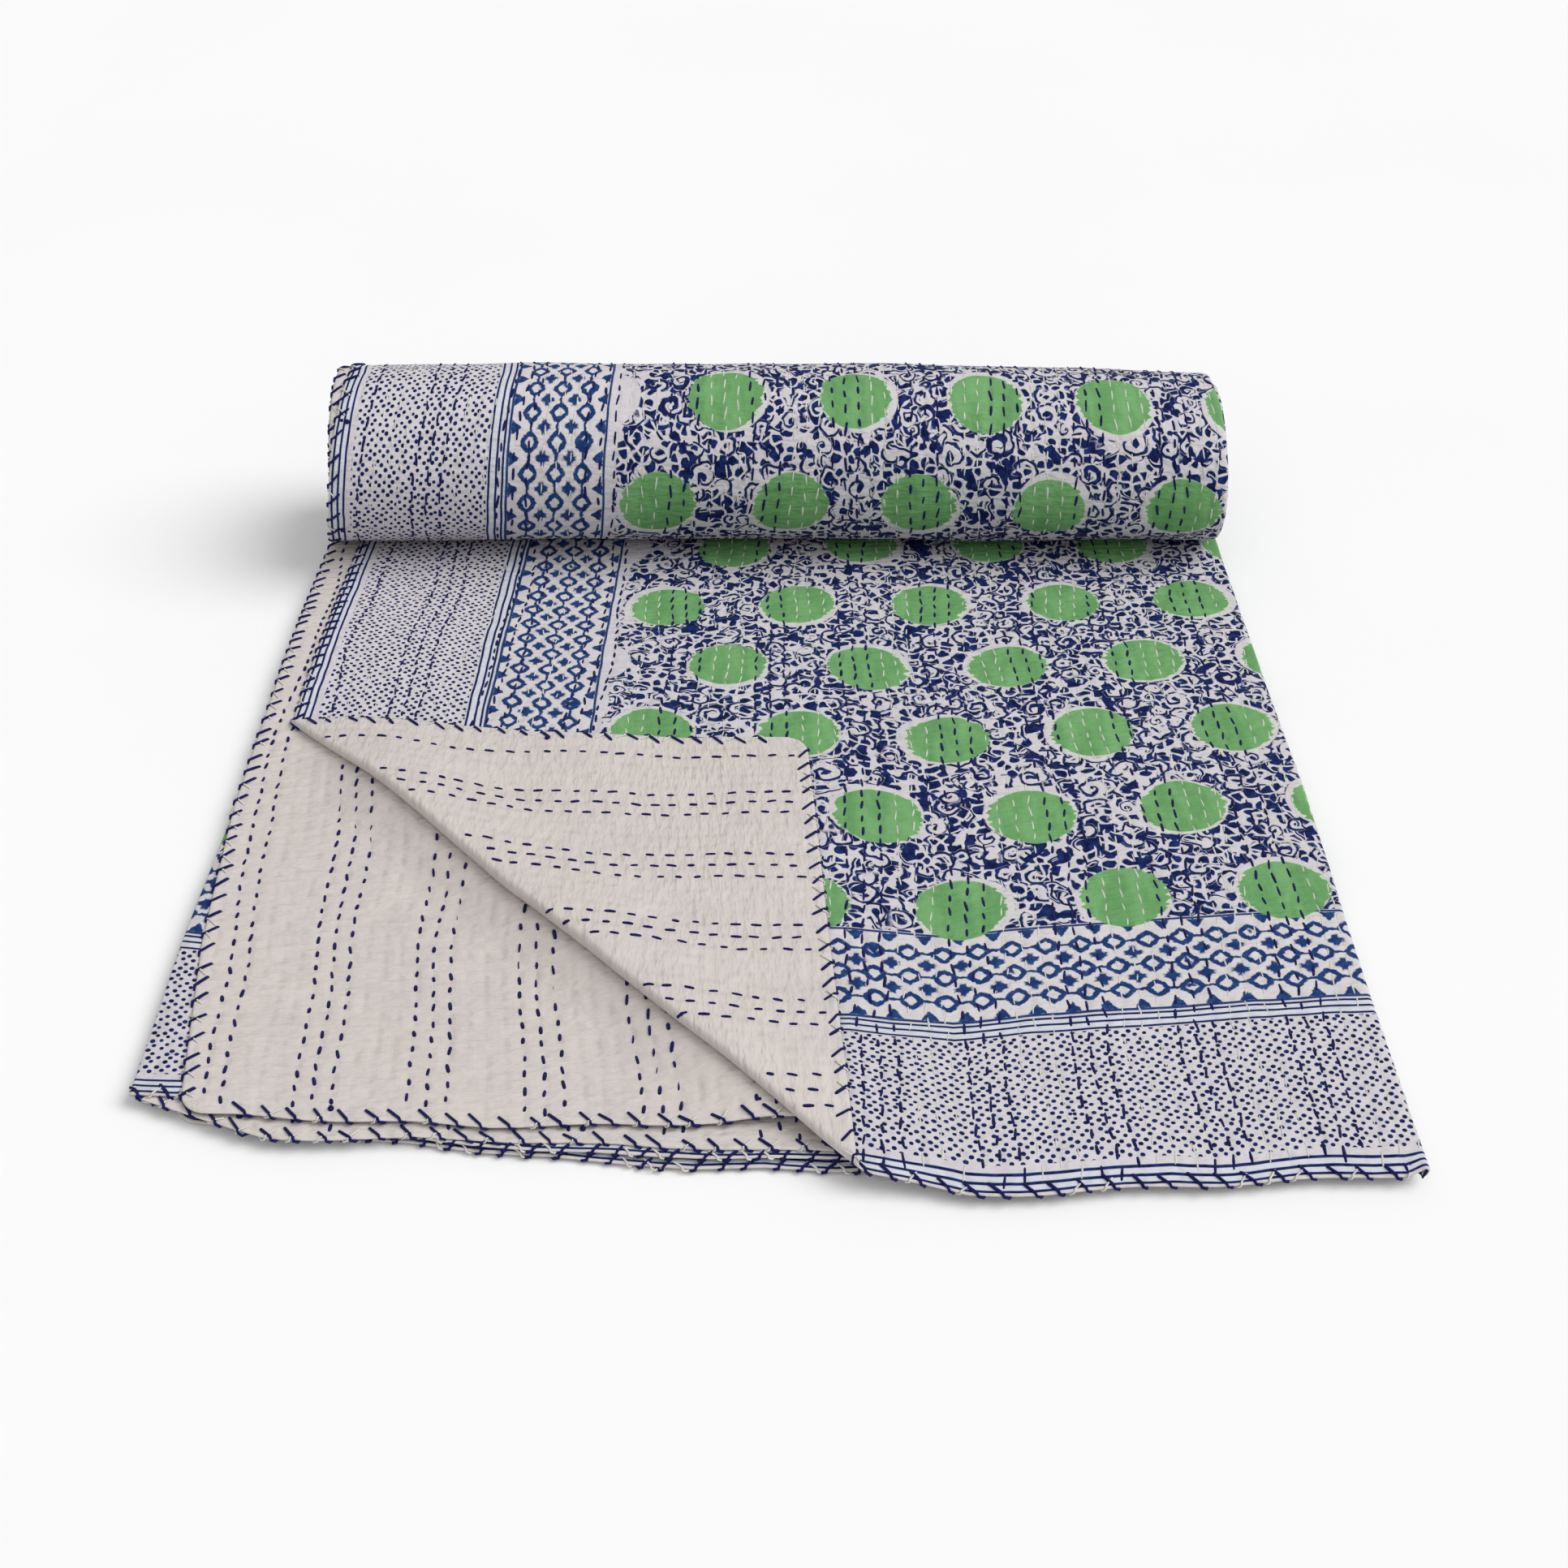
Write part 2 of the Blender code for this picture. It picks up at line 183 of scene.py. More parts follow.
# Where the print runs on along the roll, so that it isn't stretched on the outer layer.
PRINT_SLIP_TURNS = 1.15
PRINT_SLIP_STARTS = 0.200
PRINT_SLIP_ENDS = (FLAT_LENGTH + 0.40, HALF_LENGTH - 0.02)
PRINT_SHIFT = 0.0025
# How far the print leans against the hem, its width, and the pull beside the turned corner.
PRINT_LEAN = 0.048
PRINT_LEAN_WIDTH = 0.555
PRINT_LEAN_DROP = 0.55
PRINT_LEAN_DROPS, PRINT_LEAN_ENDS = (0.34, 0.56), (0.60, 1.00)
PRINT_PULL = (0.0045, 0.305, 0.055)
PRINT_PULL_ENDS = (0.18, 0.28)
PRINT_HEM_STARTS = (0.020, 0.100)


def painted(red, green, blue):
    """A colour given as screen values, 0 to 255, as a linear colour with full alpha."""
    parts = [value / 255 for value in (red, green, blue)]
    linear = [p / 12.92 if p <= 0.04045 else ((p + 0.055) / 1.055) ** 2.4 for p in parts]
    return (*linear, 1.0)


def colour_property(name, description, shade):
    return FloatVectorProperty(
        name=name,
        description=description,
        default=painted(*shade),
        subtype="COLOR",
        size=4,
        min=0.0,
        max=1.0,
    )


def radius_property(name, what, default, highest):
    return FloatProperty(
        name=name + " radius",
        description="Half the thickness of " + what,
        default=default,
        min=0.0002,
        max=highest,
        precision=5,
        subtype="DISTANCE",
        unit="LENGTH",
    )


def strength_property(name, what, default):
    return FloatProperty(name=name, description="Strength of " + what, default=default, min=0.0)


# ---- Folding ----


def smooth(value, low, high):
    """0 below low, 1 above high, with a soft ramp between."""
    part = np.clip((value - low) / (high - low), 0.0, 1.0)
    return part * part * (3 - 2 * part)


def read_table(table, place, column):
    """A column of a table at places between its rows."""
    return np.interp(place, [row[0] for row in table], [row[column] for row in table])


def fold_point(number, centre, angle):
    """Points on one of the folds across the stack, angle -90 to 90 degrees from panel to panel."""
    fold = FOLDS[number]
    side = -1 if fold is LEFT_FOLD else 1
    rise = -1 if fold is OUTER_RIGHT_FOLD else 1
    radius = fold["radius"] * LAYER_PITCH
    height = fold["height"] * LAYER_PITCH + rise * radius * np.sin(angle)
    return centre + side * radius * np.cos(angle), height


def section(u, sides):
    """Place across the stack and height over its middle, at distance u over the cloth."""
    right = sides["right"] - OUTER_RIGHT_FOLD["inset"] * LAYER_PITCH
    inner_right = sides["right"] - INNER_RIGHT_FOLD["inset"] * LAYER_PITCH
    left = sides["left"] + LEFT_FOLD["inset"] * LAYER_PITCH
    ends = (sides["hem_1"], right, right, left, left, inner_right, inner_right, sides["hem_4"])
    x, over = np.zeros_like(u), np.zeros_like(u)
    begins = 0.0
    for panel in range(4):
        start, end = ends[2 * panel], ends[2 * panel + 1]
        here = np.ones(u.shape, bool) if panel == 0 else u >= begins
        x = np.where(here, start + (end - start) * (u - begins) / PANEL_RUN, x)
        over = np.where(here, PANEL_LEVELS[panel] * LAYER_PITCH, over)
        begins += PANEL_RUN
        if panel == 3:
            break
        angle = math.pi * ((u - begins) / FOLD_ARCS[panel] - 0.5)
        fold_x, fold_over = fold_point(panel, end, angle)
        here = u > begins
        x, over = np.where(here, fold_x, x), np.where(here, fold_over, over)
        begins += FOLD_ARCS[panel]
    return x, over


def roll_angle(along):
    """How far round the roll the stack's middle has come."""
    length = np.clip(along - FLAT_LENGTH, 0.0, ROLLED_LENGTH)
    return (ROLL_START - np.sqrt(ROLL_START**2 - 2 * ROLL_SHRINK * length)) / ROLL_SHRINK


def roll_wave(x, angle):
    """How far the roll swells outwards, the same on every turn."""
    swell = np.zeros_like(x)
    for turns, length, height, phase in ROLL_WAVES:
        turn = turns * angle + 2 * math.pi * x / length + phase
        swell = swell + height * np.sin(turn)
    return swell * smooth(angle, *ROLL_WAVE_STARTS)


def stack_point(x, along, over):
    """Y and Z of points of the stack, over its middle by a height that points into the roll."""
    angle = roll_angle(along)
    radius = ROLL_START - ROLL_SHRINK * angle - over + roll_wave(x, angle)
    rolled = along > FLAT_LENGTH
    y = np.where(rolled, FLAT_LENGTH + radius * np.sin(angle), along)
    z = np.where(rolled, ROLL_HEIGHT - radius * np.cos(angle), MIDDLE_HEIGHT + over)
    return y, z


def turn_point(x, over, angle):
    """Y and Z in the fold along the stack, at the core of the roll."""
    y, z = stack_point(x, np.full_like(x, HALF_LENGTH), over * np.cos(angle))
    ahead = over * np.sin(angle)
    return y + ahead * math.cos(ROLL_END_ANGLE), z + ahead * math.sin(ROLL_END_ANGLE)


def round_hem_corner(u, t):
    """The cloth's corners are a little rounded: where points of the square corners come to lie."""
    a = np.clip(1 - np.minimum(u, CLOTH_WIDTH - u) / HEM_CORNER_RADIUS, 0.0, None)
    b = np.clip(1 - np.minimum(t, CLOTH_LENGTH - t) / HEM_CORNER_RADIUS, 0.0, None)
    both = (a > 0) & (b > 0)
    inward = HEM_CORNER_RADIUS * (1 - np.maximum(a, b) / np.where(both, np.hypot(a, b), 1.0))
    u = u + np.where(both, a * inward * np.sign(CLOTH_WIDTH / 2 - u), 0.0)
    return u, t + np.where(both, b * inward * np.sign(CLOTH_LENGTH / 2 - t), 0.0)


def corner_lift(u, t):
    """How far the two top layers stand up along the turned corner's soft fold."""
    across, forward = CORNER_WAY
    away = u * across + t * forward - CORNER_SIDE_LEG * forward
    place = u * forward - t * across + CORNER_SIDE_LEG * across
    ends = smooth(place, 0.0, CORNER_LIFT_ENDS)
    ends = ends * (1 - smooth(place, CORNER_SIZE - CORNER_LIFT_ENDS, CORNER_SIZE))
    outside, inside = CORNER_LIFT_WIDTHS
    away = np.where(away < 0, -away / outside, away / inside)
    return CORNER_LIFT * ends * (1 - smooth(away, 0.0, 1.0))


def raised_layers(u, upper, x, along):
    """corner_lift for the top two layers, by where they lie over each other; 0 for the others."""
    sides = sides_at(upper, along)
    over_u = (x - sides["hem_1"]) * PANEL_RUN / (sides["right"] - sides["hem_1"])
    over_t = along - hem_back(over_u, upper, along)
    top = upper & ((u < PANEL_RUN) | (u > CLOTH_WIDTH - PANEL_RUN))
    return np.where(top, corner_lift(over_u, over_t), 0.0)


def turn_corner(u, t):
    """The turned-back corner: where flat points come to lie, and their height over the layer."""
    across, forward = CORNER_WAY
    beyond = CORNER_SIDE_LEG * forward - u * across - t * forward
    arc = math.pi * CORNER_RADIUS
    angle = np.clip(beyond, 0.0, arc) / CORNER_RADIUS
    settled = smooth(beyond, arc, CORNER_SETTLE)
    shift = np.where(beyond < arc, beyond - CORNER_RADIUS * np.sin(angle), 2 * beyond - arc)
    height = CORNER_RADIUS * (1 - np.cos(angle)) * (1 - settled) + CORNER_REST_HEIGHT * settled
    turned = (beyond > 0) & (u < CLOTH_WIDTH / 4) & (t < HALF_LENGTH)
    shift, height = np.where(turned, shift, 0.0), np.where(turned, height, 0.0)
    return u + shift * across, t + shift * forward, height


def sides_at(upper, along):
    """Where the hems and folds at the sides lie, at distances along the stack."""
    found = {}
    for column, side in enumerate(SIDES, 1):
        tables = (UPPER_SIDES, LOWER_SIDES)
        places = [read_table(table, along / STACK_WIDTH, column) for table in tables]
        found[side] = STACK_WIDTH * np.where(upper, *places)
    return found


def hem_back(u, upper, reach):
    """How much further back a point lies, because of where the front hem of its layer lies."""
    backs = [
        np.interp(4 * u / CLOTH_WIDTH, list(hem), list(hem.values())) * (1 - smooth(reach, *keeps))
        for hem, keeps in ((UPPER_HEM, UPPER_HEM_KEEPS), (LOWER_HEM, LOWER_HEM_KEEPS))
    ]
    ripple = HEM_WAVE["height"] * np.sin(2 * math.pi * u / HEM_WAVE["length"])
    ripple = ripple * (1 - smooth(reach, 0.0, HEM_WAVE["reach"]))
    return STACK_WIDTH * np.where(upper, *backs) + ripple


def loft(x, y):
    """How much looser the layers lie at places of the flat part."""
    along = smooth(y, *LOFT_RISES) * (1 - smooth(y, *LOFT_FALLS))
    across = np.clip(1.5 - 3 * np.abs(x) / STACK_WIDTH, 0.0, 1.0)
    return LOFT * along * across


def flat_wave(x, y):
    """The soft waves of the flat layers."""
    height = np.zeros_like(x)
    for length, heading, rise, phase in FLAT_WAVES:
        heading = math.radians(heading)
        run = x * math.cos(heading) + y * math.sin(heading)
        height = height + rise * np.sin(2 * math.pi * run / length + phase)
    return height


def fold_cloth(u, t):
    """Where points of the flat cloth lie in the folded quilt."""
    u, t = round_hem_corner(u, t)
    u, t, lifted = turn_corner(u, t)
    upper = t <= HALF_LENGTH
    reach = np.where(upper, t, CLOTH_LENGTH - t)
    along = reach + hem_back(u, upper, reach)
    x, over = section(u, sides_at(upper, along))
    turned = (t - HALF_LENGTH) / TURN_LENGTH + 0.5
    y, z = stack_point(x, along, np.where(upper, over, -over))
    turn_y, turn_z = turn_point(x, over, math.pi * np.clip(turned, 0.0, 1.0))
    in_turn = (turned > 0) & (turned < 1)
    y, z = np.where(in_turn, turn_y, y), np.where(in_turn, turn_z, z)
    z = z + lifted
    droop = (1 - smooth(reach, 0.0, HEM_DROOP_REACH)) * smooth(x, *HEM_DROOP_STARTS)
    hanging = upper & (u < PANEL_RUN) & (lifted == 0)
    z = z - np.where(hanging, HEM_DROOP * droop, 0.0)
    flat = along < FLAT_LENGTH
    fade = 1 - smooth(along, FLAT_LENGTH - FLAT_WAVE_FADE, FLAT_LENGTH)
    share = np.clip(z / (LAYERS * LAYER_PITCH), 0.0, FLAT_WAVE_MOST)
    lofted = (z - CLOTH_THICKNESS / 2) * loft(x, y) + share * fade * flat_wave(x, y)
    z = z + np.where(flat, lofted, 0.0)
    y = y - ROLL_SKEW * x / STACK_WIDTH * smooth(along, *ROLL_SKEW_STARTS)
    off_middle = 2 * x / STACK_WIDTH + ROLL_BULGE_SHAPE["shift"]
    bulge = ROLL_BULGE * (ROLL_BULGE_SHAPE["rise"] - off_middle**2)
    z = z * (1 + bulge * smooth(z, *ROLL_BULGE_STARTS)) + raised_layers(u, upper, x, along)
    return np.stack([x - FOOTPRINT_MIDDLE[0], y - FOOTPRINT_MIDDLE[1], z], -1)


def unit(vectors):
    return vectors / np.maximum(np.linalg.norm(vectors, axis=-1, keepdims=True), 1e-12)


def cloth_frame(u, t, step=0.0002):
    """Folded places, the way out of the printed side, and the ways across and along."""
    across = unit(fold_cloth(u + step, t) - fold_cloth(u - step, t))
    along = unit(fold_cloth(u, t + step) - fold_cloth(u, t - step))
    return fold_cloth(u, t), unit(np.cross(across, along)), across, along


def printed_place(u, t):
    """Where points of the cloth lie on its print, in metres."""
    reach = CLOTH_LENGTH - t
    angle = np.clip(roll_angle(reach), 0.0, PRINT_SLIP_TURNS * 2 * math.pi)
    outer = 3.5 * LAYER_PITCH * angle - PRINT_SHIFT
    ramp = np.clip((reach - PRINT_SLIP_STARTS) / (FLAT_LENGTH - PRINT_SLIP_STARTS), 0.0, 1.0)
    back = 1 - smooth(reach, *PRINT_SLIP_ENDS)
    height, middle, wide = PRINT_PULL
    pull = height * np.exp(-(((u - middle) / wide) ** 2)) * (1 - smooth(t, *PRINT_PULL_ENDS))
    lean = PRINT_LEAN * np.clip(PRINT_LEAN_WIDTH - u, 0.0, None)
    lean = lean * (1 - PRINT_LEAN_DROP * smooth(t, *PRINT_LEAN_DROPS))
    lean = lean * (1 - smooth(t, *PRINT_LEAN_ENDS))
    upper = (lean + pull) * smooth(t, *PRINT_HEM_STARTS)
    return u, t + np.where(t > HALF_LENGTH, -outer * ramp * back, upper)


# ---- The cloth's mesh ----

FINE_STEP = 0.0068
HEM_ROUNDING = 0.0007
HEM_ROWS = (0.0, 0.0015, 0.0035, 0.0060, 0.0095, 0.0140)
FOLD_STEPS = (8, 4, 4)
# Columns in each of the four panels, by stretch of the cloth.
FLAT_COLUMNS = (84, 26, 26, 52)
ROLL_COLUMNS = (12, 10, 10, 12)
OUTER_COLUMNS = (84, 10, 10, 12)
UNDER_COLUMNS = (30, 22, 22, 22)
INNER_ROLL_STEPS = 24
OUTER_ROLL_STEPS = 60
TURN_STEPS = 4
OUTER_ROLL_END = 2.25 * math.pi
CORNER_CUTS = 8
CORNER_CUT_REACH = 0.02
TINY = 1e-5


def hem_steps(length, count):
    """Steps over a panel that starts at a hem, fine by the hem and even after it."""
    rest = np.linspace(HEM_ROWS[-1], length, count - len(HEM_ROWS) + 2)[1:]
    return list(HEM_ROWS) + list(rest)


def columns_over(counts):
    """Distances over the cloth, hem to hem, with finer steps in the folds and hems."""
    columns = hem_steps(PANEL_RUN, counts[0])
    for panel in (1, 2, 3):
        steps = FOLD_STEPS[panel - 1]
        start, arc = columns[-1], FOLD_ARCS[panel - 1]
        columns += [start + arc * (i + 1) / steps for i in range(steps)]
        start = columns[-1]
        if panel < 3:
            columns += [start + PANEL_RUN * (i + 1) / counts[panel] for i in range(counts[panel])]
        else:
            back = hem_steps(PANEL_RUN, counts[3])
            columns += [CLOTH_WIDTH - step for step in reversed(back[:-1])]
    return [round(column, 7) for column in columns]


def rolled_rows(steps, first, last):
    """Distances along the cloth round the roll, at equal angles."""
    angles = np.arange(first, last, 2 * math.pi / steps)
    return [FLAT_LENGTH + ROLL_START * a - ROLL_SHRINK * a * a / 2 for a in angles]


def flat_rows(step):
    rest = np.arange(HEM_ROWS[-1] + step, FLAT_LENGTH - step / 2, step)
    return list(HEM_ROWS) + list(rest)


def grid_rows():
    """Rows of the grid along the cloth, each with the columns that it has."""
    over, rolled = columns_over(FLAT_COLUMNS), columns_over(ROLL_COLUMNS)
    outer, under = columns_over(OUTER_COLUMNS), columns_over(UNDER_COLUMNS)
    rows = [(t, over) for t in flat_rows(FINE_STEP)]
    inner = rolled_rows(INNER_ROLL_STEPS, 0.0, ROLL_END_ANGLE)
    rows += [(t, over if t < FLAT_LENGTH + 0.02 else rolled) for t in inner]
    turn_start = HALF_LENGTH - TURN_LENGTH / 2
    rows += [(turn_start + TURN_LENGTH * i / TURN_STEPS, rolled) for i in range(TURN_STEPS + 1)]
    below = [(t, under) for t in flat_rows(3 * FINE_STEP)]
    below += [(t, outer) for t in rolled_rows(OUTER_ROLL_STEPS, 0.0, OUTER_ROLL_END)]
    inner = rolled_rows(INNER_ROLL_STEPS, OUTER_ROLL_END + 0.2, ROLL_END_ANGLE)
    below += [(t, rolled) for t in inner]
    return rows + [(CLOTH_LENGTH - t, columns) for t, columns in reversed(below)]


def join_rows(mesh, near, far):
    """Faces between two rows of points, which may have different columns."""
    i = j = 0
    while i < len(near) - 1 or j < len(far) - 1:
        next_near = near[i + 1].co.x if i < len(near) - 1 else math.inf
        next_far = far[j + 1].co.x if j < len(far) - 1 else math.inf
        if abs(next_near - next_far) < TINY / 10:
            mesh.faces.new((near[i], near[i + 1], far[j + 1], far[j]))
            i, j = i + 1, j + 1
        elif next_near < next_far:
            mesh.faces.new((near[i], near[i + 1], far[j]))
            i += 1
        else:
            mesh.faces.new((near[i], far[j + 1], far[j]))
            j += 1


def flat_cloth():
    """The cloth before folding, cut where its corner bends: points, faces and the edge's pairs."""
    mesh = bmesh.new()
    rows = [[mesh.verts.new((u, t, 0)) for u in columns] for t, columns in grid_rows()]
    for near, far in zip(rows, rows[1:]):
        join_rows(mesh, near, far)
    normal = (*CORNER_WAY, 0)
    for i in range(CORNER_CUTS + 1):
        place = CORNER_FOLD - math.pi * CORNER_RADIUS * i / CORNER_CUTS
        point = tuple(place * part for part in normal)
        reach = CORNER_FOLD + CORNER_CUT_REACH
        near = [face for face in mesh.faces if face.calc_center_median().dot(normal) < reach]
        parts = list({part for f in near for part in (f, *f.edges, *f.verts)})
        bmesh.ops.bisect_plane(mesh, geom=parts, dist=TINY, plane_co=point, plane_no=normal)
    mesh.verts.index_update()
    points = np.array([point.co[:2] for point in mesh.verts])
    faces = [[point.index for point in face.verts] for face in mesh.faces]
    rim = [
        (loop.vert.index, loop.link_loop_next.vert.index)
        for edge in mesh.edges
        if edge.is_boundary
        for loop in edge.link_loops
    ]
    mesh.free()
    return points, faces, np.array(rim)


def outward(u, t, across, along):
    """The way out of the cloth's edge, for points on its edge."""
    way = np.zeros_like(across)
    for place, size, ahead in ((u, CLOTH_WIDTH, across), (t, CLOTH_LENGTH, along)):
        way -= ahead * (place < TINY)[..., None]
        way += ahead * (place > size - TINY)[..., None]
    return unit(way)


def sheet_mesh(name):
    """The folded cloth as a closed sheet: a printed side, a plain side and a rounded hem edge."""
    flat, faces, rim = flat_cloth()
    u, t = flat[:, 0], flat[:, 1]
    middle, normal, across, along = cloth_frame(u, t)
    half = CLOTH_THICKNESS / 2 * normal
    edge = np.unique(rim)
    edge_at = {int(point): 2 * len(flat) + i for i, point in enumerate(edge)}
    way = outward(u[edge], t[edge], across[edge], along[edge])
    rounded_edge = middle[edge] + way * HEM_ROUNDING
    points = np.concatenate([middle + half, middle - half, rounded_edge])
    count = len(flat)
    polygons = list(faces) + [[count + i for i in reversed(face)] for face in faces]
    for near, far in rim.tolist():
        polygons.append([near, edge_at[near], edge_at[far], far])
        polygons.append([edge_at[near], count + near, count + far, edge_at[far]])
    place = np.stack(printed_place(u, t), -1)
    place = np.concatenate([place, place, place[edge]])
    mesh = smooth_mesh(name, points, polygons, "cloth", place)
    plain = np.zeros(len(polygons), np.int32)
    plain[len(faces) : 2 * len(faces)] = 1
    plain[2 * len(faces) + 1 :: 2] = 1
    mesh.polygons.foreach_set("material_index", plain)
    return mesh


def smooth_mesh(name, points, polygons, map_name, places):
    """A smooth mesh that keeps a place for each of its points as a UV map."""
    mesh = bpy.data.meshes.new(name)
    mesh.from_pydata(points.tolist(), [], polygons)
    mesh.polygons.foreach_set("use_smooth", np.ones(len(polygons), bool))
    corners = np.empty(len(mesh.loops), np.int32)
    mesh.loops.foreach_get("vertex_index", corners)
    layer = mesh.uv_layers.new(name=map_name)
    layer.data.foreach_set("uv", places[corners].astype(np.float32).ravel())
    return mesh


# ---- Thread ----

TUBE_SIDES = {"running": 4, "whip": 5, "knot": 6}
MM = 1000


def tube_arrays(paths, ups, radii, sides):
    """Points, quads and thread places of closed tubes, one for each path of the same length."""
    count, rings = paths.shape[:2]
    ahead = unit(np.gradient(paths, axis=1))
    side = unit(np.cross(ahead, ups))
    over = np.cross(side, ahead)
    turn = np.arange(sides) * 2 * math.pi / sides
    ring = side[:, :, None] * np.cos(turn)[:, None] + over[:, :, None] * np.sin(turn)[:, None]
    points = paths[:, :, None] + ring * radii[..., None, None]
    length = np.cumsum(np.linalg.norm(np.diff(paths, axis=1, prepend=paths[:, :1]), axis=-1), 1)
    places = np.broadcast_arrays(turn / (2 * math.pi), length[:, :, None] * MM)
    first = np.arange(count)[:, None, None] * rings * sides
    near = first + np.arange(rings - 1)[:, None] * sides + np.arange(sides)
    beside = first + np.arange(rings - 1)[:, None] * sides + (np.arange(sides) + 1) % sides
    walls = np.stack([near, near + sides, beside + sides, beside], -1).reshape(-1, 4)
    cap = first[:, 0] + np.arange(sides)
    caps = [cap.tolist(), (cap[:, ::-1] + (rings - 1) * sides).tolist()]
    places = np.stack(places, -1).reshape(-1, 2)
    return points.reshape(-1, 3), walls.tolist() + caps[0] + caps[1], places


def thread_piece(name, bundles, material):
    """One object of many threads. A bundle is (paths, ups, radii, sides)."""
    points, polygons, places, count = [], [], [], 0
    for bundle in bundles:
        made, quads, where = tube_arrays(*bundle)
        points.append(made)
        places.append(where)
        polygons += [[count + i for i in quad] for quad in quads]
        count += len(made)
    points, places = np.concatenate(points), np.concatenate(places)
    mesh = smooth_mesh(name, points, polygons, "thread", places)
    mesh.materials.append(material)
    return place_piece(name, mesh)


def place_piece(name, mesh):
    """Puts a piece in the scene, riding on the quilt's body."""
    piece = bpy.data.objects.new(name, mesh)
    bpy.context.scene.collection.objects.link(piece)
    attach(piece, "root")
    return piece


# ---- Running stitches ----

ROW_PITCH = 0.00875
FIRST_ROW = 0.0120
ROWS_IN_GROUP = 6
BLUE_ROWS = (0, 1, 5)
# How the rows stray: height, wave length along and across, and phase.
ROW_DRIFTS = (
    (0.0024, 0.310, 0.470, 0.0),
    (0.0012, 0.127, -0.290, 1.7),
)
STITCH_PITCH = 0.0105
STITCH_LENGTHS = (0.0048, 0.0090)
BACK_STITCH_LENGTHS = (0.0032, 0.0058)
STITCH_STRAY, STITCH_SWAY, STITCH_LEAN = 0.0011, 0.0004, 0.20
# The rings of a stitch, end to end: place, thickness, and how high the middle of the thread
# lies over the cloth.
STITCH_RINGS = (0.0, 0.10, 0.5, 0.90, 1.0)
STITCH_WIDTHS = (0.45, 0.95, 1.1, 0.95, 0.45)
STITCH_LIFTS = (-0.0007, -0.00028, -0.00018, -0.00028, -0.0007)
BACK_STITCH_LIFT = 0.00028
UNEVEN_THREAD = (0.85, 1.15)
STITCH_FREE_HEM = 0.006
# How the running stitches' thickness changes: dark ones in front and behind, and pale ones.
FRONT_THICKNESS, BACK_THICKNESS, PALE_THICKNESS = 1.15, 1.08, 0.75
# What can be seen: past the hems, under the roll and round it, and beside and under the flap.
SEEN_MARGIN = 0.004
SEEN_UNDER_ROLL, SEEN_ROUND_ROLL = 0.012, 0.352
BACK_MARGIN = 0.006
UNDER_FLAP = (0.345, 0.322)
SEEN_SIDE, SEEN_FRONT = 0.030, 0.020
SEEN_PAST_FOLD = 0.01


def row_drift(u, t):
    """How far the rows of stitches stray to the side."""
    drift = np.zeros_like(u)
    for height, along, across, phase in ROW_DRIFTS:
        drift = drift + height * np.sin(2 * math.pi * (t / along + u / across) + phase)
    return drift


def stitch_rows():
    """Every row of running stitches: its distance over the cloth and whether it is blue."""
    rows = []
    for i in range(int((CLOTH_WIDTH / 2 - FIRST_ROW) / ROW_PITCH)):
        u, blue = FIRST_ROW + i * ROW_PITCH, i % ROWS_IN_GROUP in BLUE_ROWS
        rows += [(CLOTH_WIDTH - u, blue)] + [(u, blue)] * (i > 0)
    return rows


def past_fold(u, t):
    """How far places lie behind the turned corner's fold, on the flat cloth."""
    return u * CORNER_WAY[0] + t * CORNER_WAY[1] - CORNER_FOLD


def shows_on_print(u, t):
    """Whether a place of the printed side can be seen."""
    reach = CLOTH_LENGTH - t
    top = (t > SEEN_MARGIN) & (t < FLAT_LENGTH + SEEN_UNDER_ROLL)
    outer = (reach > SEEN_MARGIN) & (reach < FLAT_LENGTH + SEEN_ROUND_ROLL)
    return (u < PANEL_RUN + SEEN_MARGIN) & (top & (past_fold(u, t) > -SEEN_MARGIN) | outer)


def shows_on_back(u, t):
    """Whether a place of the plain side can be seen."""
    inner = CLOTH_WIDTH - u
    flap = past_fold(u, t) < -BACK_MARGIN
    under_flap = inner / UNDER_FLAP[0] + t / UNDER_FLAP[1] < 1
    margin = (inner < SEEN_SIDE) & (t < FLAT_LENGTH)
    panel_4 = (inner < PANEL_RUN) & (under_flap | margin)
    strip = (u > PANEL_RUN + SEEN_PAST_FOLD) & (u < 2 * PANEL_RUN) & (t < SEEN_FRONT)
    return (t > SEEN_MARGIN) & (flap | panel_4 | strip)


def running_stitches(blue, back, maker):
    """Paths of the running stitches of one colour that can be seen on one side."""
    made = []
    count = int(CLOTH_LENGTH / STITCH_PITCH) - 1
    for row, is_blue in stitch_rows():
        places = (np.arange(count) + maker.uniform(0, 1)) * STITCH_PITCH
        places = places + maker.uniform(-STITCH_STRAY, STITCH_STRAY, count)
        lengths = maker.uniform(*(BACK_STITCH_LENGTHS if back else STITCH_LENGTHS), count)
        sway = maker.uniform(-STITCH_SWAY, STITCH_SWAY, count)
        if is_blue == blue:
            where = np.full(count, row)
            made.append((where - row_drift(where, places) + sway, places, lengths))
    u, t, lengths = np.concatenate(made, axis=1)
    seen = (shows_on_back if back else shows_on_print)(u, t)
    seen &= (t > STITCH_FREE_HEM) & (t < CLOTH_LENGTH - STITCH_FREE_HEM)
    u, t, lengths = u[seen], t[seen], lengths[seen]
    lean = maker.uniform(-STITCH_LEAN, STITCH_LEAN, len(u))
    run = (np.array(STITCH_RINGS) - 0.5) * lengths[:, None]
    return u[:, None] + run * lean[:, None], t[:, None] + run


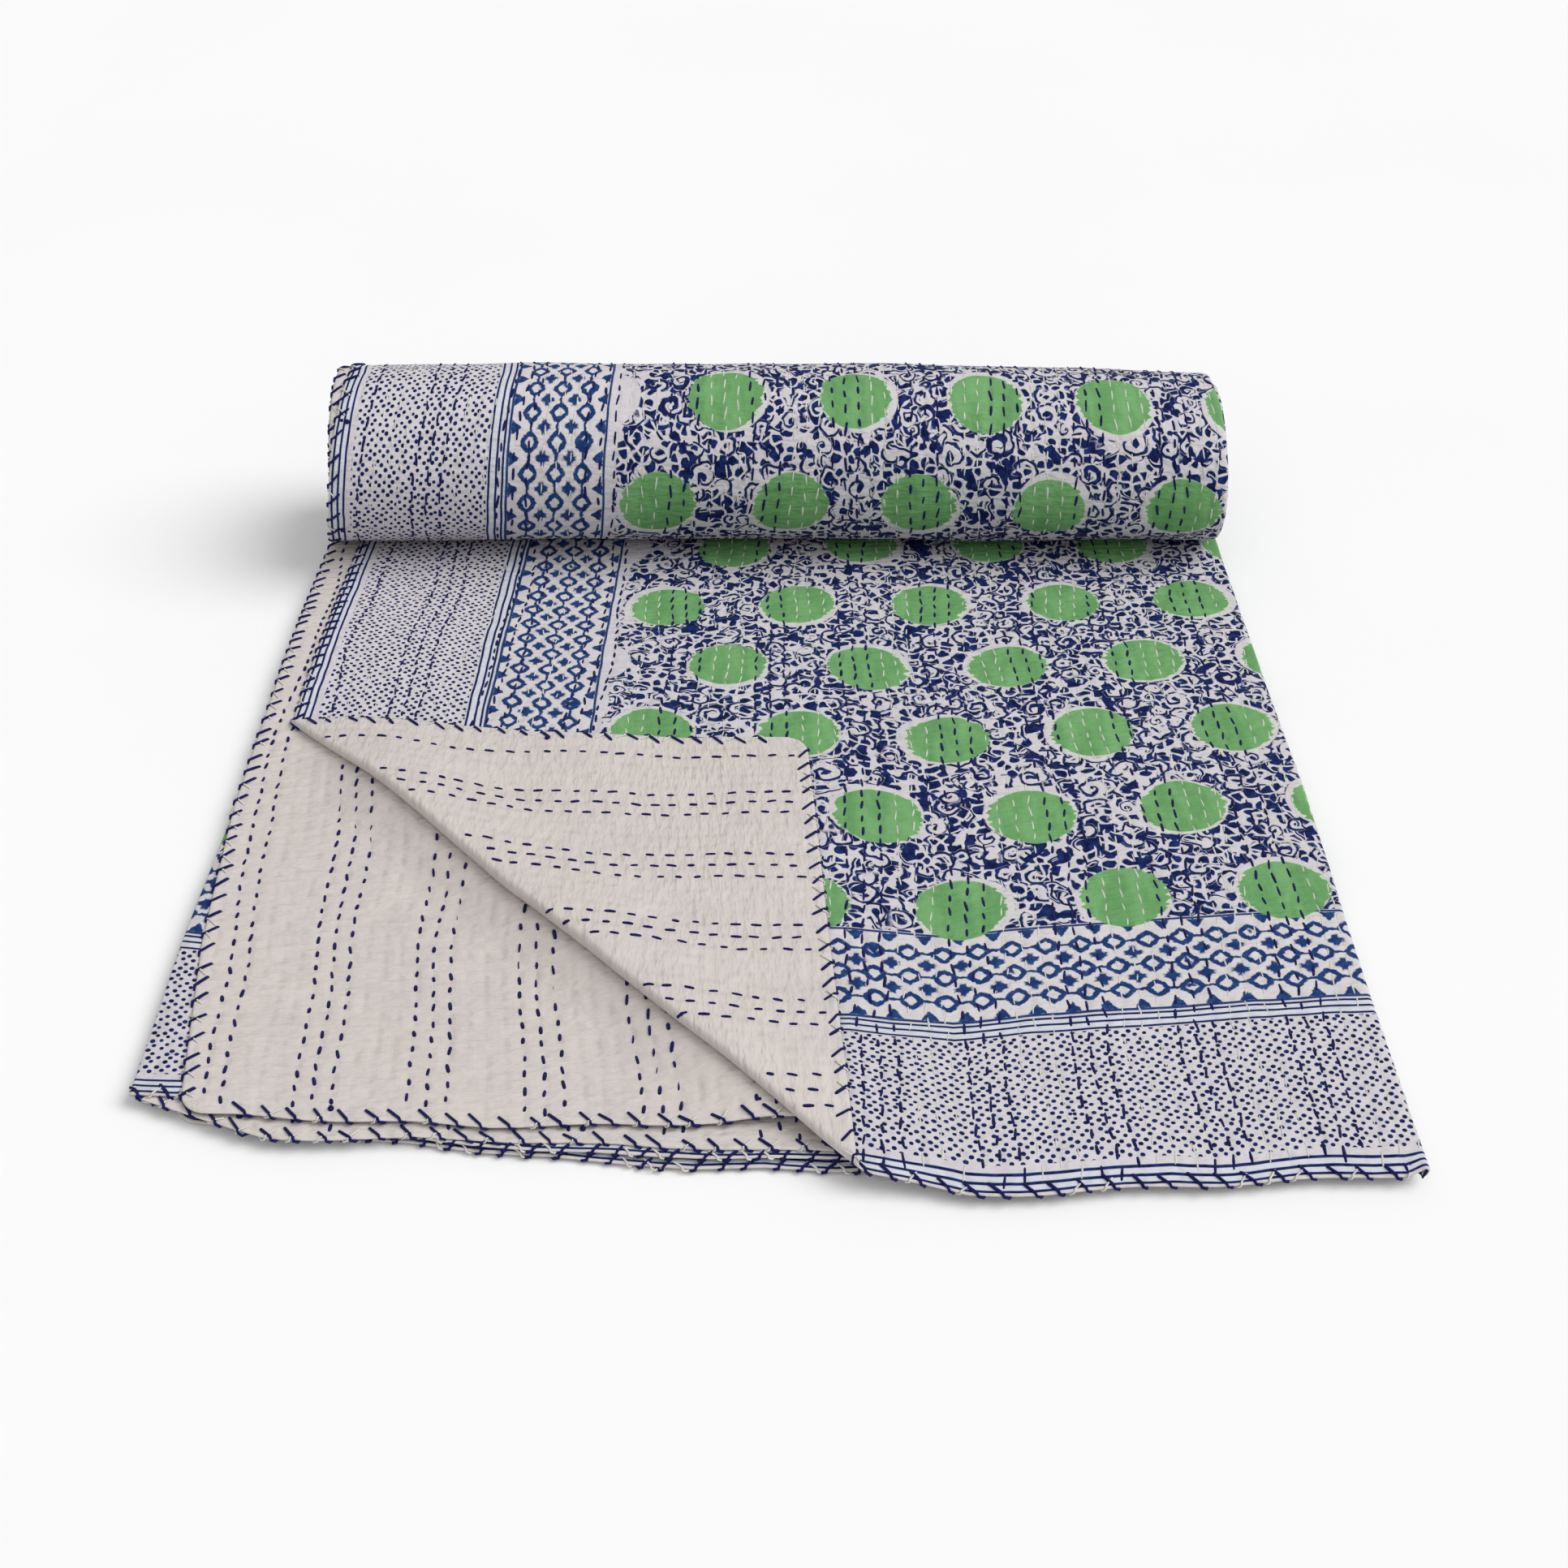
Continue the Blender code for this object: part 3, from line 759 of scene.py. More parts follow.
def stitch_bundle(blue, back, radius, maker):
    """Tubes of running stitches, each rising out of the cloth and diving back into it."""
    u, t = running_stitches(blue, back, maker)
    middle, normal, _, _ = cloth_frame(u, t)
    side = -normal if back else normal
    lift = np.array(STITCH_LIFTS) + (BACK_STITCH_LIFT if back else 0.0)
    paths = middle + side * (CLOTH_THICKNESS / 2 + lift[:, None])
    radii = np.array(STITCH_WIDTHS) * radius * maker.uniform(*UNEVEN_THREAD, len(u))[:, None]
    return paths, side, radii, TUBE_SIDES["running"]


# ---- Stitches over the hem ----

WHIP_PITCH = 0.0124
WHIP_DEPTH = 0.0062
WHIP_RUN = 0.0057
WHIP_ENDS, WHIP_STRAY = 0.010, 0.0016
WHIP_END_THICKNESS = 0.6
WHIP_RIM_LEAN = 0.6
WHIP_DEPTHS, WHIP_RUNS = (0.72, 1.12), (0.75, 1.2)
PALE_WHIPS = {"offset": 0.45, "turn": -1.0, "size": 0.80}
PALE_WHIP_THICKNESS = 0.62
KNOT_ENDS, KNOT_PITCH, KNOT_STRAY = 0.05, 0.115, 0.03
KNOT_DEPTHS = (0.006, 0.009)
KNOT_THICKNESS = 2.1
KNOT_LENGTH, KNOT_LIFT = 0.0026, 0.0004
KNOT_RINGS, KNOT_WIDTHS = (-0.5, -0.3, 0.0, 0.3, 0.5), (0.4, 0.9, 1.0, 0.9, 0.4)
# Where a whip's rings lie: part of the depth, part of the run, lift, and side of the cloth.
WHIP_RINGS = (
    (1.00, -1.00, -0.0004, 1.0),
    (0.90, -0.90, 0.00035, 1.0),
    (0.50, -0.50, 0.00050, 1.0),
    (0.10, -0.12, 0.00050, 1.0),
    (0.00, 0.00, 0.00070, 0.5),
    (0.00, 0.35, 0.00070, -0.4),
    (0.10, 0.48, 0.00050, -1.0),
    (0.50, 0.90, 0.00050, -1.0),
    (0.90, 1.30, 0.00035, -1.0),
    (1.00, 1.40, -0.0004, -1.0),
)
# The hems: length, where each starts, its way, and the way in from it.
HEM_SIDES = (
    (CLOTH_LENGTH, (0.0, CLOTH_LENGTH), (0, -1), (1, 0)),
    (CLOTH_LENGTH, (CLOTH_WIDTH, 0.0), (0, 1), (-1, 0)),
    (CLOTH_WIDTH, (0.0, 0.0), (1, 0), (0, 1)),
    (CLOTH_WIDTH, (0.0, CLOTH_LENGTH), (1, 0), (0, -1)),
)


def hem_place(start, way, inward, along, depth):
    """Places on the flat cloth at distances along a hem and in from it."""
    return [start[i] + way[i] * along + inward[i] * depth for i in (0, 1)]


def whip_bundle(radius, maker, offset=0.0, turn=1.0, size=1.0, share=1.0):
    """Tubes of slanting stitches over every hem. turn is -1 for those that cross the other way."""
    bundles = []
    depths, runs, lifts, sides = np.transpose(WHIP_RINGS)
    over, rim = sides[:, None], (depths == 0)[:, None]
    for length, start, way, inward in HEM_SIDES:
        count = int((length - 2 * WHIP_ENDS) / WHIP_PITCH)
        at = WHIP_ENDS + (np.arange(count) + offset) * WHIP_PITCH
        at = at + maker.uniform(-WHIP_STRAY, WHIP_STRAY, count)
        at = at[maker.uniform(0, 1, count) < share]
        deep = WHIP_DEPTH * size * maker.uniform(*WHIP_DEPTHS, len(at))
        run = WHIP_RUN * size * maker.uniform(*WHIP_RUNS, len(at))
        along = np.clip(at[:, None] + turn * run[:, None] * runs, 0.0, length)
        u, t = hem_place(start, way, inward, along, deep[:, None] * depths)
        middle, normal, across, forward = cloth_frame(u, t)
        out = -inward[0] * across - inward[1] * forward
        up = unit(np.where(rim, out + WHIP_RIM_LEAN * over * normal, over * normal))
        lift = (CLOTH_THICKNESS / 2 + lifts)[:, None]
        radii = radius * maker.uniform(*UNEVEN_THREAD, len(at))[:, None] * np.ones(len(depths))
        radii[:, (0, -1)] *= WHIP_END_THICKNESS
        bundles.append((middle + up * lift, up, radii, TUBE_SIDES["whip"]))
    return bundles


def knot_bundle(radius, maker):
    """A few small knots of thread where a length of it ended, by the hems."""
    bundles = []
    for length, start, way, inward in HEM_SIDES:
        at = np.arange(KNOT_ENDS, length - KNOT_ENDS, KNOT_PITCH)
        at = at + maker.uniform(-KNOT_STRAY, KNOT_STRAY, len(at))
        depth = maker.uniform(*KNOT_DEPTHS, len(at))
        along = at[:, None] + np.array(KNOT_RINGS) * KNOT_LENGTH
        middle, normal, _, _ = cloth_frame(*hem_place(start, way, inward, along, depth[:, None]))
        side = normal * np.where(maker.uniform(0, 1, len(at)) < 0.5, 1.0, -1.0)[:, None, None]
        radii = np.ones((len(at), 1)) * np.array(KNOT_WIDTHS) * radius
        path = middle + side * (CLOTH_THICKNESS / 2 + KNOT_LIFT)
        bundles.append((path, side, radii, TUBE_SIDES["knot"]))
    return bundles


# ---- Shader nodes ----

# How softly an edge of ink ends, where nothing else is said.
INK_SOFT = 0.03
MID_COLOUR = (0.5, 0.5, 0.5)


def feed(node, inputs):
    """Gives a node's inputs their wires, numbers, vectors or colours, by name or in order."""
    pairs = inputs.items() if isinstance(inputs, dict) else enumerate(inputs)
    for key, value in pairs:
        if isinstance(value, Wire):
            node.id_data.links.new(value.socket, node.inputs[key])
        else:
            node.inputs[key].default_value = value


def add_node(tree, kind, inputs=(), **settings):
    made = tree.nodes.new(kind)
    for name, value in settings.items():
        setattr(made, name, value)
    feed(made, inputs)
    return made


def work(operation, *values):
    """One operation, on vectors where the first wire carries a vector or a colour."""
    wire = next(value for value in values if isinstance(value, Wire))
    kind = "Math" if wire.is_number() else "VectorMath"
    made = wire.node(kind, values, operation=operation)
    number = wire.is_number() or operation == "LENGTH"
    return Wire(made.outputs["Value" if number else "Vector"])


def worked(operation, swapped=False):
    """A method of Wire that does one operation. swapped is for a wire on the right of the sign."""
    if swapped:
        return lambda right, left: work(operation, left, right)
    return lambda left, *right: work(operation, left, *right)


class Wire:
    """A node's output. Sums and comparisons with it add the nodes that work them out."""

    def __init__(self, socket):
        self.socket = socket

    def is_number(self):
        return self.socket.type == "VALUE"

    def node(self, kind, inputs, **settings):
        """A new node in the wire's own tree."""
        return add_node(self.socket.id_data, "ShaderNode" + kind, inputs, **settings)

    __add__, __radd__ = worked("ADD"), worked("ADD", True)
    __sub__, __rsub__ = worked("SUBTRACT"), worked("SUBTRACT", True)
    __mul__, __rmul__ = worked("MULTIPLY"), worked("MULTIPLY", True)
    __lt__, __gt__ = worked("LESS_THAN"), worked("LESS_THAN", True)
    __truediv__, __pow__, __mod__ = worked("DIVIDE"), worked("POWER"), worked("FLOORED_MODULO")
    __abs__, __round__ = worked("ABSOLUTE"), worked("ROUND")
    sine, fraction, length = worked("SINE"), worked("FRACT"), worked("LENGTH")

    def over(self, edge, soft=INK_SOFT):
        """1 where the value is over the edge, with a soft change."""
        ends = (self, edge - soft, edge + soft)
        return Wire(self.node("MapRange", ends, interpolation_type="SMOOTHSTEP").outputs[0])

    def under(self, edge, soft=INK_SOFT):
        return 1.0 - self.over(edge, soft)

    def between(self, low, high, soft=INK_SOFT):
        return least(self.over(low, soft), self.under(high, soft))

    def line(self, place, half_width, soft=INK_SOFT):
        """1 on a line where the value passes a place."""
        return abs(self - place).under(half_width, soft)

    def scale(self, low, high, to_low, to_high):
        return Wire(self.node("MapRange", (self, low, high, to_low, to_high)).outputs[0])

    def mix(self, first, second):
        """A colour between two, by this share of the second."""
        colours = {"Factor": self, 6: first, 7: second}
        return Wire(self.node("Mix", colours, data_type="RGBA").outputs[2])

    def brighten(self, colour):
        """A colour times this value."""
        made = self.node("VectorMath", {0: colour, "Scale": self}, operation="SCALE")
        return Wire(made.outputs[0])

    def bump(self, strength, distance, **under):
        """The slope of a surface that this height raises."""
        inputs = {"Strength": strength, "Distance": distance, "Height": self, **under}
        return Wire(self.node("Bump", inputs).outputs[0])

    def parts(self):
        return [Wire(socket) for socket in self.node("SeparateXYZ", (self,)).outputs[:2]]

    def noise(self, scale, detail=2.0, roughness=0.5, output="Fac"):
        inputs = {"Vector": self, "Scale": scale, "Detail": detail, "Roughness": roughness}
        return Wire(self.node("TexNoise", inputs, noise_dimensions="2D").outputs[output])

    def cells(self, scatter, feature="F1"):
        """Scattered cells a unit apart. Gives what is known of the nearest, by name."""
        inputs = {"Vector": self, "Scale": 1.0, "Randomness": scatter}
        made = self.node("TexVoronoi", inputs, voronoi_dimensions="2D", feature=feature)
        return {socket.name: Wire(socket) for socket in made.outputs}

    def stretched(self, across, along):
        return self * (across, along, 0.0)

    def strayed(self, scale, amount, detail=1.0):
        """A place moved about a little, as lines drawn by hand stray."""
        drift = self.noise(scale, detail, output="Color") - MID_COLOUR
        return self + drift.stretched(amount, amount)

    def from_middle(self, pitch, shift=0.0):
        """Distance from the middle of the nearest of evenly spaced places, negative before it."""
        return ((self / pitch + (0.5 + shift)).fraction() - 0.5) * pitch


def most(first, *rest):
    """The highest of several values, such as the union of masks."""
    return reduce(lambda high, value: work("MAXIMUM", high, value), rest, first)


def least(first, *rest):
    """The lowest of several values, such as where all masks hold."""
    return reduce(lambda low, value: work("MINIMUM", low, value), rest, first)


def joined(x, y):
    return Wire(x.node("CombineXYZ", (x, y, 0.0)).outputs[0])


def grouped(name, build, gives, **takes):
    """A node group, built where it is new. build takes the inputs and gives the outputs."""
    group = bpy.data.node_groups.get(name)
    if group is None:
        group = bpy.data.node_groups.new(name, "ShaderNodeTree")
        for title, wire in takes.items():
            kind = "NodeSocketFloat" if wire.is_number() else "NodeSocketVector"
            group.interface.new_socket(title, in_out="INPUT", socket_type=kind)
        for title in gives:
            group.interface.new_socket(title, in_out="OUTPUT", socket_type="NodeSocketFloat")
        entry = add_node(group, "NodeGroupInput")
        made = build(*[Wire(entry.outputs[title]) for title in takes])
        add_node(group, "NodeGroupOutput", dict(zip(gives, made)))
    wire = next(iter(takes.values()))
    placed = wire.node("Group", (), node_tree=group)
    feed(placed, takes)
    return [Wire(placed.outputs[title]) for title in gives]


# ---- The print, with places in centimetres ----

CM = 100
WIDTH_CM, LENGTH_CM = CLOTH_WIDTH * CM, CLOTH_LENGTH * CM
BORDER_LINES = (0.16, 0.54, 0.92, 10.10, 10.56, 10.96)
BORDER_LINE_HALF = 0.070
DOT_BAND = (1.33, 9.97)
HEM_PALE = (0.08, 1.02)
STRIPE_PALE = (10.00, 11.04)
# The small dots of the border: their pitch, how far their rows turn, and their radius in pitches.
SPECK_PITCH = 0.405
SPECK_TURN = 0.72
SPECK_SIZES = (0.250, 0.325)
# The diamond band and its shapes: half width, half height, and power for rounded().
DIAMOND_BAND = (11.30, 17.34)
DIAMOND_PITCH = 1.73
RING = (0.66, 0.62, 1.35)
HEART = (0.33, 0.31, 1.25)
BOSS = (0.44, 0.42, 1.0)
CROSS_BAR_HALF = 0.15
LINK_HALF = 0.085
TOOTH_HEIGHT = 0.66
RAIL_HALVES = (0.085, 0.075)
SIDE_STRETCH = 1.09
FIELD_EDGE = 17.42
# The field: its leaves by pitch across and along, size and the bare line between two of them.
LEAF_PITCHES = (0.76, 0.72)
LEAF_SCATTER = 0.85
LEAF_SIZES = (0.34, 0.64)
LEAF_GAP = 0.112
STEM_HALF, BARE_HALF = 0.0270, 0.0560
# Hooks and curls: their pitch, their size, and the share of the cells that have one.
HOOKS = ((1.95, 0.48, 0.56), (1.60, 0.32, 0.42))
CURLS = ((3.0, 0.90, 0.40), (2.6, 0.64, 0.24))
HOOK_LIGHT_HALF, HOOK_DARK_HALF, HOOK_STEP = 0.105, 0.100, 0.21
# The big dots: the first one's place, their pitches, half sizes, and how far they stray.
DOT_FIRST = (20.90, 19.25)
DOT_ACROSS, DOT_ALONG = 8.34, 7.12
DOT_HALF = (2.34, 2.20)
DOT_STRAY = 0.26
WEAVE_PITCH = 0.075


def build_edges(place):
    """Distance from the nearest hem, how far along the border, and distance from the side hem."""
    u, t = place.strayed(0.35, 0.16, 2.0).parts()
    side, end = least(u, WIDTH_CM - u), least(t, LENGTH_CM - t)
    beside = side < end
    run = beside * (t * (1 / SIDE_STRETCH)) + (1.0 - beside) * u
    return least(side, end), run, side


def rounded(x, y, half_x, half_y, power):
    """Under 1 inside a shape from a lozenge (power 1) to a rounded box (power over 2)."""
    return abs(x * (1 / half_x)) ** power + abs(y * (1 / half_y)) ** power


def build_diamonds(edge, run):
    """The diamond band: linked rings with light hearts, crosses between them and teeth beside."""
    run, edge = joined(run, edge).strayed(3.4, 0.22, 2.0).parts()
    low, high = DIAMOND_BAND
    rise, top = edge - (low + (high - low) / 2 - DIAMOND_PITCH), 2 * DIAMOND_PITCH
    x, y = [way.from_middle(DIAMOND_PITCH) for way in (run, rise)]
    blot = joined(run, edge).noise(0.9, 1.0).over(0.70)
    ring = rounded(x, y, *RING).under(1.0, 0.10)
    heart = least(rounded(x, y, *HEART).under(1.0, 0.18), 1.0 - blot)
    link = least(y.line(0.0, LINK_HALF), rise.between(-0.35, top + 0.35, 0.05))
    ring = least(ring, rise.between(-0.9, top + 0.9, 0.02))
    x, y = [way.from_middle(DIAMOND_PITCH, 0.5) for way in (run, rise)]
    across, along = abs(x), abs(y)
    bar = most(across * (1 / BOSS[0]), along * (1 / CROSS_BAR_HALF))
    post = most(across * (1 / CROSS_BAR_HALF), along * (1 / BOSS[1]))
    cross = least(bar, post, rounded(x, y, *BOSS)).under(1.0, 0.22)
    cross = least(cross, rise.between(0.1, top - 0.1, 0.05))
    ink = least(most(ring, link, cross), 1.0 - heart)
    to_line = least(edge - low, high - edge)
    wide = most(TOOTH_HEIGHT - to_line, 0.0) ** 0.75 * 0.60
    tooth = least(across.under(wide, 0.05), to_line.under(TOOTH_HEIGHT - 0.02))
    return least(most(ink, tooth), edge.between(low, high))


def build_border(edge, run):
    """Lines, small dots and the diamond band, as dark ink, blue ink and pale ground."""
    lines = [edge.line(place, BORDER_LINE_HALF, 0.022) for place in BORDER_LINES]
    seeds = joined(run, edge).stretched(1 / SPECK_PITCH, 1 / SPECK_PITCH)
    turn = {"Vector": seeds, "Angle": SPECK_TURN}
    specks = Wire(seeds.node("VectorRotate", turn, rotation_type="Z_AXIS").outputs[0]).cells(0.40)
    size = specks["Color"].parts()[0].scale(0.0, 1.0, *SPECK_SIZES)
    speck = least(specks["Distance"].under(size, 0.045), edge.between(*DOT_BAND, 0.02))
    rails = [
        edge.line(place, half)
        for place, half in zip((DIAMOND_BAND[0] - 0.06, FIELD_EDGE), RAIL_HALVES)
    ]
    blue = most(build_diamonds(edge, run), most(*rails))
    pale = most(edge.between(*HEM_PALE, 0.04), edge.between(*STRIPE_PALE, 0.04))
    return most(speck, *lines), blue, pale


def scattered(place, pitch, scatter):
    """Places from the middle of the nearest of many cells, and the cell's own random colour."""
    spread = place.stretched(1 / pitch, 1 / pitch)
    cell = spread.cells(scatter)
    return (spread - cell["Position"]).stretched(pitch, pitch), cell["Color"]


def curl(place, pitch, reach, share):
    """Open curls round a heart, one to a cell. Gives the ink and the clear ground under it."""
    away, colour = scattered(place, pitch, 0.9)
    x, y = away.parts()
    chance, size = colour.parts()
    wanted = chance < share
    handed = (size < 0.5) * 2.0 - 1.0
    turn = work("ARCTAN2", y, x) * (handed * (0.5 / math.pi)) + chance * 9.0
    grown = away.length() / size.scale(0.0, 1.0, 0.8, 1.15)
    apart = 0.72 * reach
    wound = (grown * (1 / apart) + turn).fraction()
    lobes = place.noise(2.0, 1.0)
    arm = wound.line(0.5, lobes.scale(0.35, 0.65, 0.120, 0.180), 0.04 / apart)
    heart = grown.under(lobes.scale(0.3, 0.7, 0.12 * reach, 0.34 * reach), 0.02)
    rim = (reach - 0.06) + (lobes - 0.5) * (0.8 * reach)
    drawn = most(arm, heart)
    light = (size * 7.0).fraction() < 0.42
    drawn = drawn + light * (1.0 - drawn * 2.0)
    ink = least(drawn, grown.under(rim))
    return least(ink, wanted), least(grown.under(rim + 0.05), wanted)


def hook(place, pitch, size, share):
    """Open hooks, one to a cell: a light stroke and a dark one outside it."""
    away, colour = scattered(place, pitch, 0.95)
    x, y = away.parts()
    way_x, way_y = (colour - MID_COLOUR).parts()
    facing = x * way_x + y * way_y
    chance = ((way_x + way_y) * 5.0).fraction()
    open_side = least(facing.over(-0.05, 0.02), chance < share)
    grown = away.length()
    light = grown.line(size, HOOK_LIGHT_HALF)
    dark = grown.line(size + HOOK_STEP, HOOK_DARK_HALF)
    return least(dark, open_side), least(most(light, dark), open_side)


def build_field(place):
    """The field: leaves, berries, wandering stems, hooks and curls, all close together."""
    loose = place.strayed(0.95, 0.50, 0.5).strayed(2.2, 0.11, 0.0)
    spread = loose.stretched(*[1 / pitch for pitch in LEAF_PITCHES])
    gap = spread.cells(LEAF_SCATTER, "DISTANCE_TO_EDGE")["Distance"]
    near = spread.cells(LEAF_SCATTER)["Distance"]
    size = place.noise(0.9, 1.0).scale(0.40, 0.60, *LEAF_SIZES)
    leaf = least(near.under(size, 0.05), gap.over(LEAF_GAP, 0.035))
    leaf = most(leaf, loose.noise(0.9, 0.5).over(0.650, 0.012))
    level = place.strayed(0.9, 0.6).noise(0.50, 1.0)
    broken = place.noise(0.7, 1.0).over(0.53, 0.02)
    stem = least(level.line(0.5, STEM_HALF, 0.005), broken)
    bare = least(level.line(0.5, BARE_HALF, 0.006), broken)
    ink = most(least(leaf, 1.0 - bare), stem)
    curved = place.strayed(1.3, 0.40).strayed(2.8, 0.10, 0.0)
    motifs = [hook(curved, *kind) for kind in HOOKS] + [curl(curved, *kind) for kind in CURLS]
    for drawn, clear in motifs:
        ink = most(least(ink, 1.0 - clear), drawn)
    return (ink,)


def build_dots(place):
    """Big dots in staggered rows: the green, the bare cloth kept round it, and its soft rim."""
    u, t = place.strayed(0.2, 0.35).parts()
    row = round((t - DOT_FIRST[1]) * (1 / DOT_ALONG))
    along = t - (row * DOT_ALONG + DOT_FIRST[1])
    start = u - DOT_FIRST[0] - row % 2.0 * (DOT_ACROSS / 2)
    column = round(start * (1 / DOT_ACROSS))
    across = start - column * DOT_ACROSS
    number = {"Vector": joined(column, row)}
    chance = column.node("TexWhiteNoise", number, noise_dimensions="2D").outputs["Color"]
    stray_x, stray_y = (Wire(chance) - MID_COLOUR).parts()
    comb = place.stretched(0.5, 3.6).noise(1.0, 2.0) - 0.5
    ragged = comb * abs(across).over(0.62 * DOT_HALF[0], 0.5) * 0.30
    rough = (place.noise(1.4, 2.0) - 0.5) * 0.06

    def blob(part, grow):
        x = (across - stray_x * (part * DOT_STRAY)) / (DOT_HALF[0] + grow)
        y = (along - stray_y * (part * DOT_STRAY)) / (DOT_HALF[1] + grow)
        return joined(x, y).length() + rough

    whole = (u - across).between(FIELD_EDGE + 0.8, WIDTH_CM - FIELD_EDGE - 0.8, 0.1)
    green = least((blob(1.0, 0.0) + ragged).under(1.0, 0.016), whole)
    kept = blob(-1.6, 0.20).under(1.0, 0.02)
    bled = least(blob(1.0, 0.10).under(1.0, 0.05), whole)
    return green, most(kept, green), bled


def build_weave(place):
    """Plain weave with slubs: a height, and how light each thread is."""
    x, y = place.strayed(2.0, 0.03).parts()
    warp, weft = [(way * (2 * math.pi / WEAVE_PITCH)).sine() for way in (x, y)]
    along = place.stretched(5.0, 0.35).noise(1.0, 3.0, 0.6)
    across = place.stretched(0.35, 5.0).noise(1.0, 3.0, 0.6)
    slub = most(along, across).over(0.66, 0.06)
    height = (warp * weft + 1.0) * 0.5 * 0.35 + slub * 0.65
    light = place.noise(0.55, 3.0, 0.6) * 0.7 + (along + across) * 0.35
    return height, light.scale(0.45, 0.95, -1.0, 1.0)


def build_puckers(place):
    """How rows of running stitches pull the cloth: troughs on the rows, ripples between."""
    u, t = place.parts()
    drift = 0.0
    for height, wave_along, wave_across, phase in ROW_DRIFTS:
        turn = t * (2 * math.pi / (CM * wave_along)) + u * (2 * math.pi / (CM * wave_across))
        drift = (turn + phase).sine() * (CM * height) + drift
    toward = 1.0 - (WIDTH_CM / 2 < u) * 2.0
    strayed = least(u, WIDTH_CM - u) + drift * toward
    row = (strayed - CM * FIRST_ROW).from_middle(CM * ROW_PITCH)
    pulled = place.stretched(0.6, 1.3).noise(1.0, 1.0).over(0.52, 0.20)
    trough = abs(row).under(0.16, 0.20)
    ripple = place.stretched(0.85, 2.30).noise(1.0, 2.0, 0.55)
    long_ripple = place.stretched(0.55, 0.16).noise(1.0, 1.0)
    height = ripple * 0.85 - trough * pulled * 0.30
    return (height + (long_ripple * 0.40 + 0.30),)


def build_twist(wound, place):
    """Twisted cotton thread. wound is turns round it and millimetres along it."""
    turn, along = wound.parts()
    ply = ((turn + along * 0.75) * (4 * math.pi)).sine()
    fuzz = place.noise(900.0, 3.0, 0.7)
    # The tone follows the ply a little: painted light on the twist's ridges and painted shade in
    # the grooves between them, over random patches.
    patches_and_twist_shade = ply * 0.16 + place.noise(130.0, 2.0)
    return ply + fuzz, patches_and_twist_shade.over(0.5, 0.35), fuzz.scale(0.3, 0.7, 0.0, 1.0)


def new_material(name):
    """A material, its shader and its tree."""
    material = bpy.data.materials.new(name)
    material.use_nodes = True
    return material, material.node_tree.nodes["Principled BSDF"], material.node_tree


def cloth_place(tree):
    """Places on the cloth in centimetres."""
    layer = add_node(tree, "ShaderNodeUVMap", uv_map="cloth")
    return Wire(layer.outputs[0]).stretched(CM, CM)


def hem_distances(place):
    return grouped("Distance from the hem", build_edges, ("Edge", "Run", "Side"), Place=place)


def finish_cloth(shader, colour, place, ink):
    """What both sides share: tone, painted light and shade of the stitch puckers, roughness, sheen
    and the bumps of weave and stitching.
    """
    weave, light = grouped("Plain weave", build_weave, ("Height", "Light"), Place=place)
    (pull,) = grouped("Stitch puckers", build_puckers, ("Height",), Place=place)
    # Base colour is the threads' own tone times the pucker height: painted shade in the troughs
    # along the stitch rows and the low ripples, painted light on the crests.
    tone_and_relief_shade = light.scale(-1.0, 1.0, 0.95, 1.04) * pull.scale(0.60, 1.15, 0.960, 1.025)
    inputs = {
        "Base Color": tone_and_relief_shade.brighten(colour),
        "Roughness": weave.scale(0.0, 1.0, 0.90, 0.78) - ink * 0.06,
        "Specular IOR Level": 0.07,
        "Sheen Weight": 0.02,
        "Sheen Roughness": 0.45,
        "Normal": pull.bump(0.75, 0.0020, Normal=weave.bump(0.25, 0.00018)),
    }
    feed(shader, inputs)


def printed_cotton(looks):
    """The printed side."""
    material, shader, tree = new_material("printed cotton")
    place = cloth_place(tree)
    edge, run, side = hem_distances(place)
    inks = ("Dark", "Blue", "Pale")
    border, blue, pale = grouped("Border print", build_border, inks, Edge=edge, Run=run)
    (field,) = grouped("Field print", build_field, ("Ink",), Place=place)
    dot, kept, bled = grouped("Big dots", build_dots, ("Green", "Kept", "Bled"), Place=place)
    inner = least(edge, side - (0.15 + place.noise(1.3, 2.0) * 0.9))
    in_field = inner.over(FIELD_EDGE + 0.12, 0.04)
    in_dots = edge.over(FIELD_EDGE - 0.45, 0.05)
    green = least(dot, in_dots)
    field = least(field, in_field, 1.0 - kept)
    dark = most(least(border, inner.under(FIELD_EDGE, 0.05)), field)
    # The grounds, each laid over those before it.
    cool = edge.between(HEM_PALE[1], STRIPE_PALE[0], 0.3)
    ground = cool.mix(looks.cream, looks.cool_ground)
    band = edge.between(DIAMOND_BAND[0] - 0.1, FIELD_EDGE, 0.05)
    ground = band.mix(ground, looks.warm_ground)
    ground = pale.mix(ground, looks.pale_blue)
    ground = edge.under(HEM_PALE[0], 0.08).mix(ground, looks.hem)
    ground = least(bled * 0.5, in_dots).mix(ground, looks.bled_green)
    worn = place.noise(1.9, 3.0, 0.65)
    blue_ink = worn.over(0.60, 0.16).mix(looks.blue, looks.worn_blue)
    dark_ink = worn.over(0.53, 0.22).mix(looks.navy, looks.worn_navy)
    colour = dark.mix(blue.mix(ground, blue_ink), dark_ink)
    streaks = place.stretched(0.8, 0.25).noise(1.0, 3.0, 0.6)
    green_ink = streaks.over(0.52, 0.2).mix(looks.green, looks.light_green)
    colour = (green * 0.97).mix(colour, green_ink)
    finish_cloth(shader, colour, place, most(dark, blue, green))
    return material


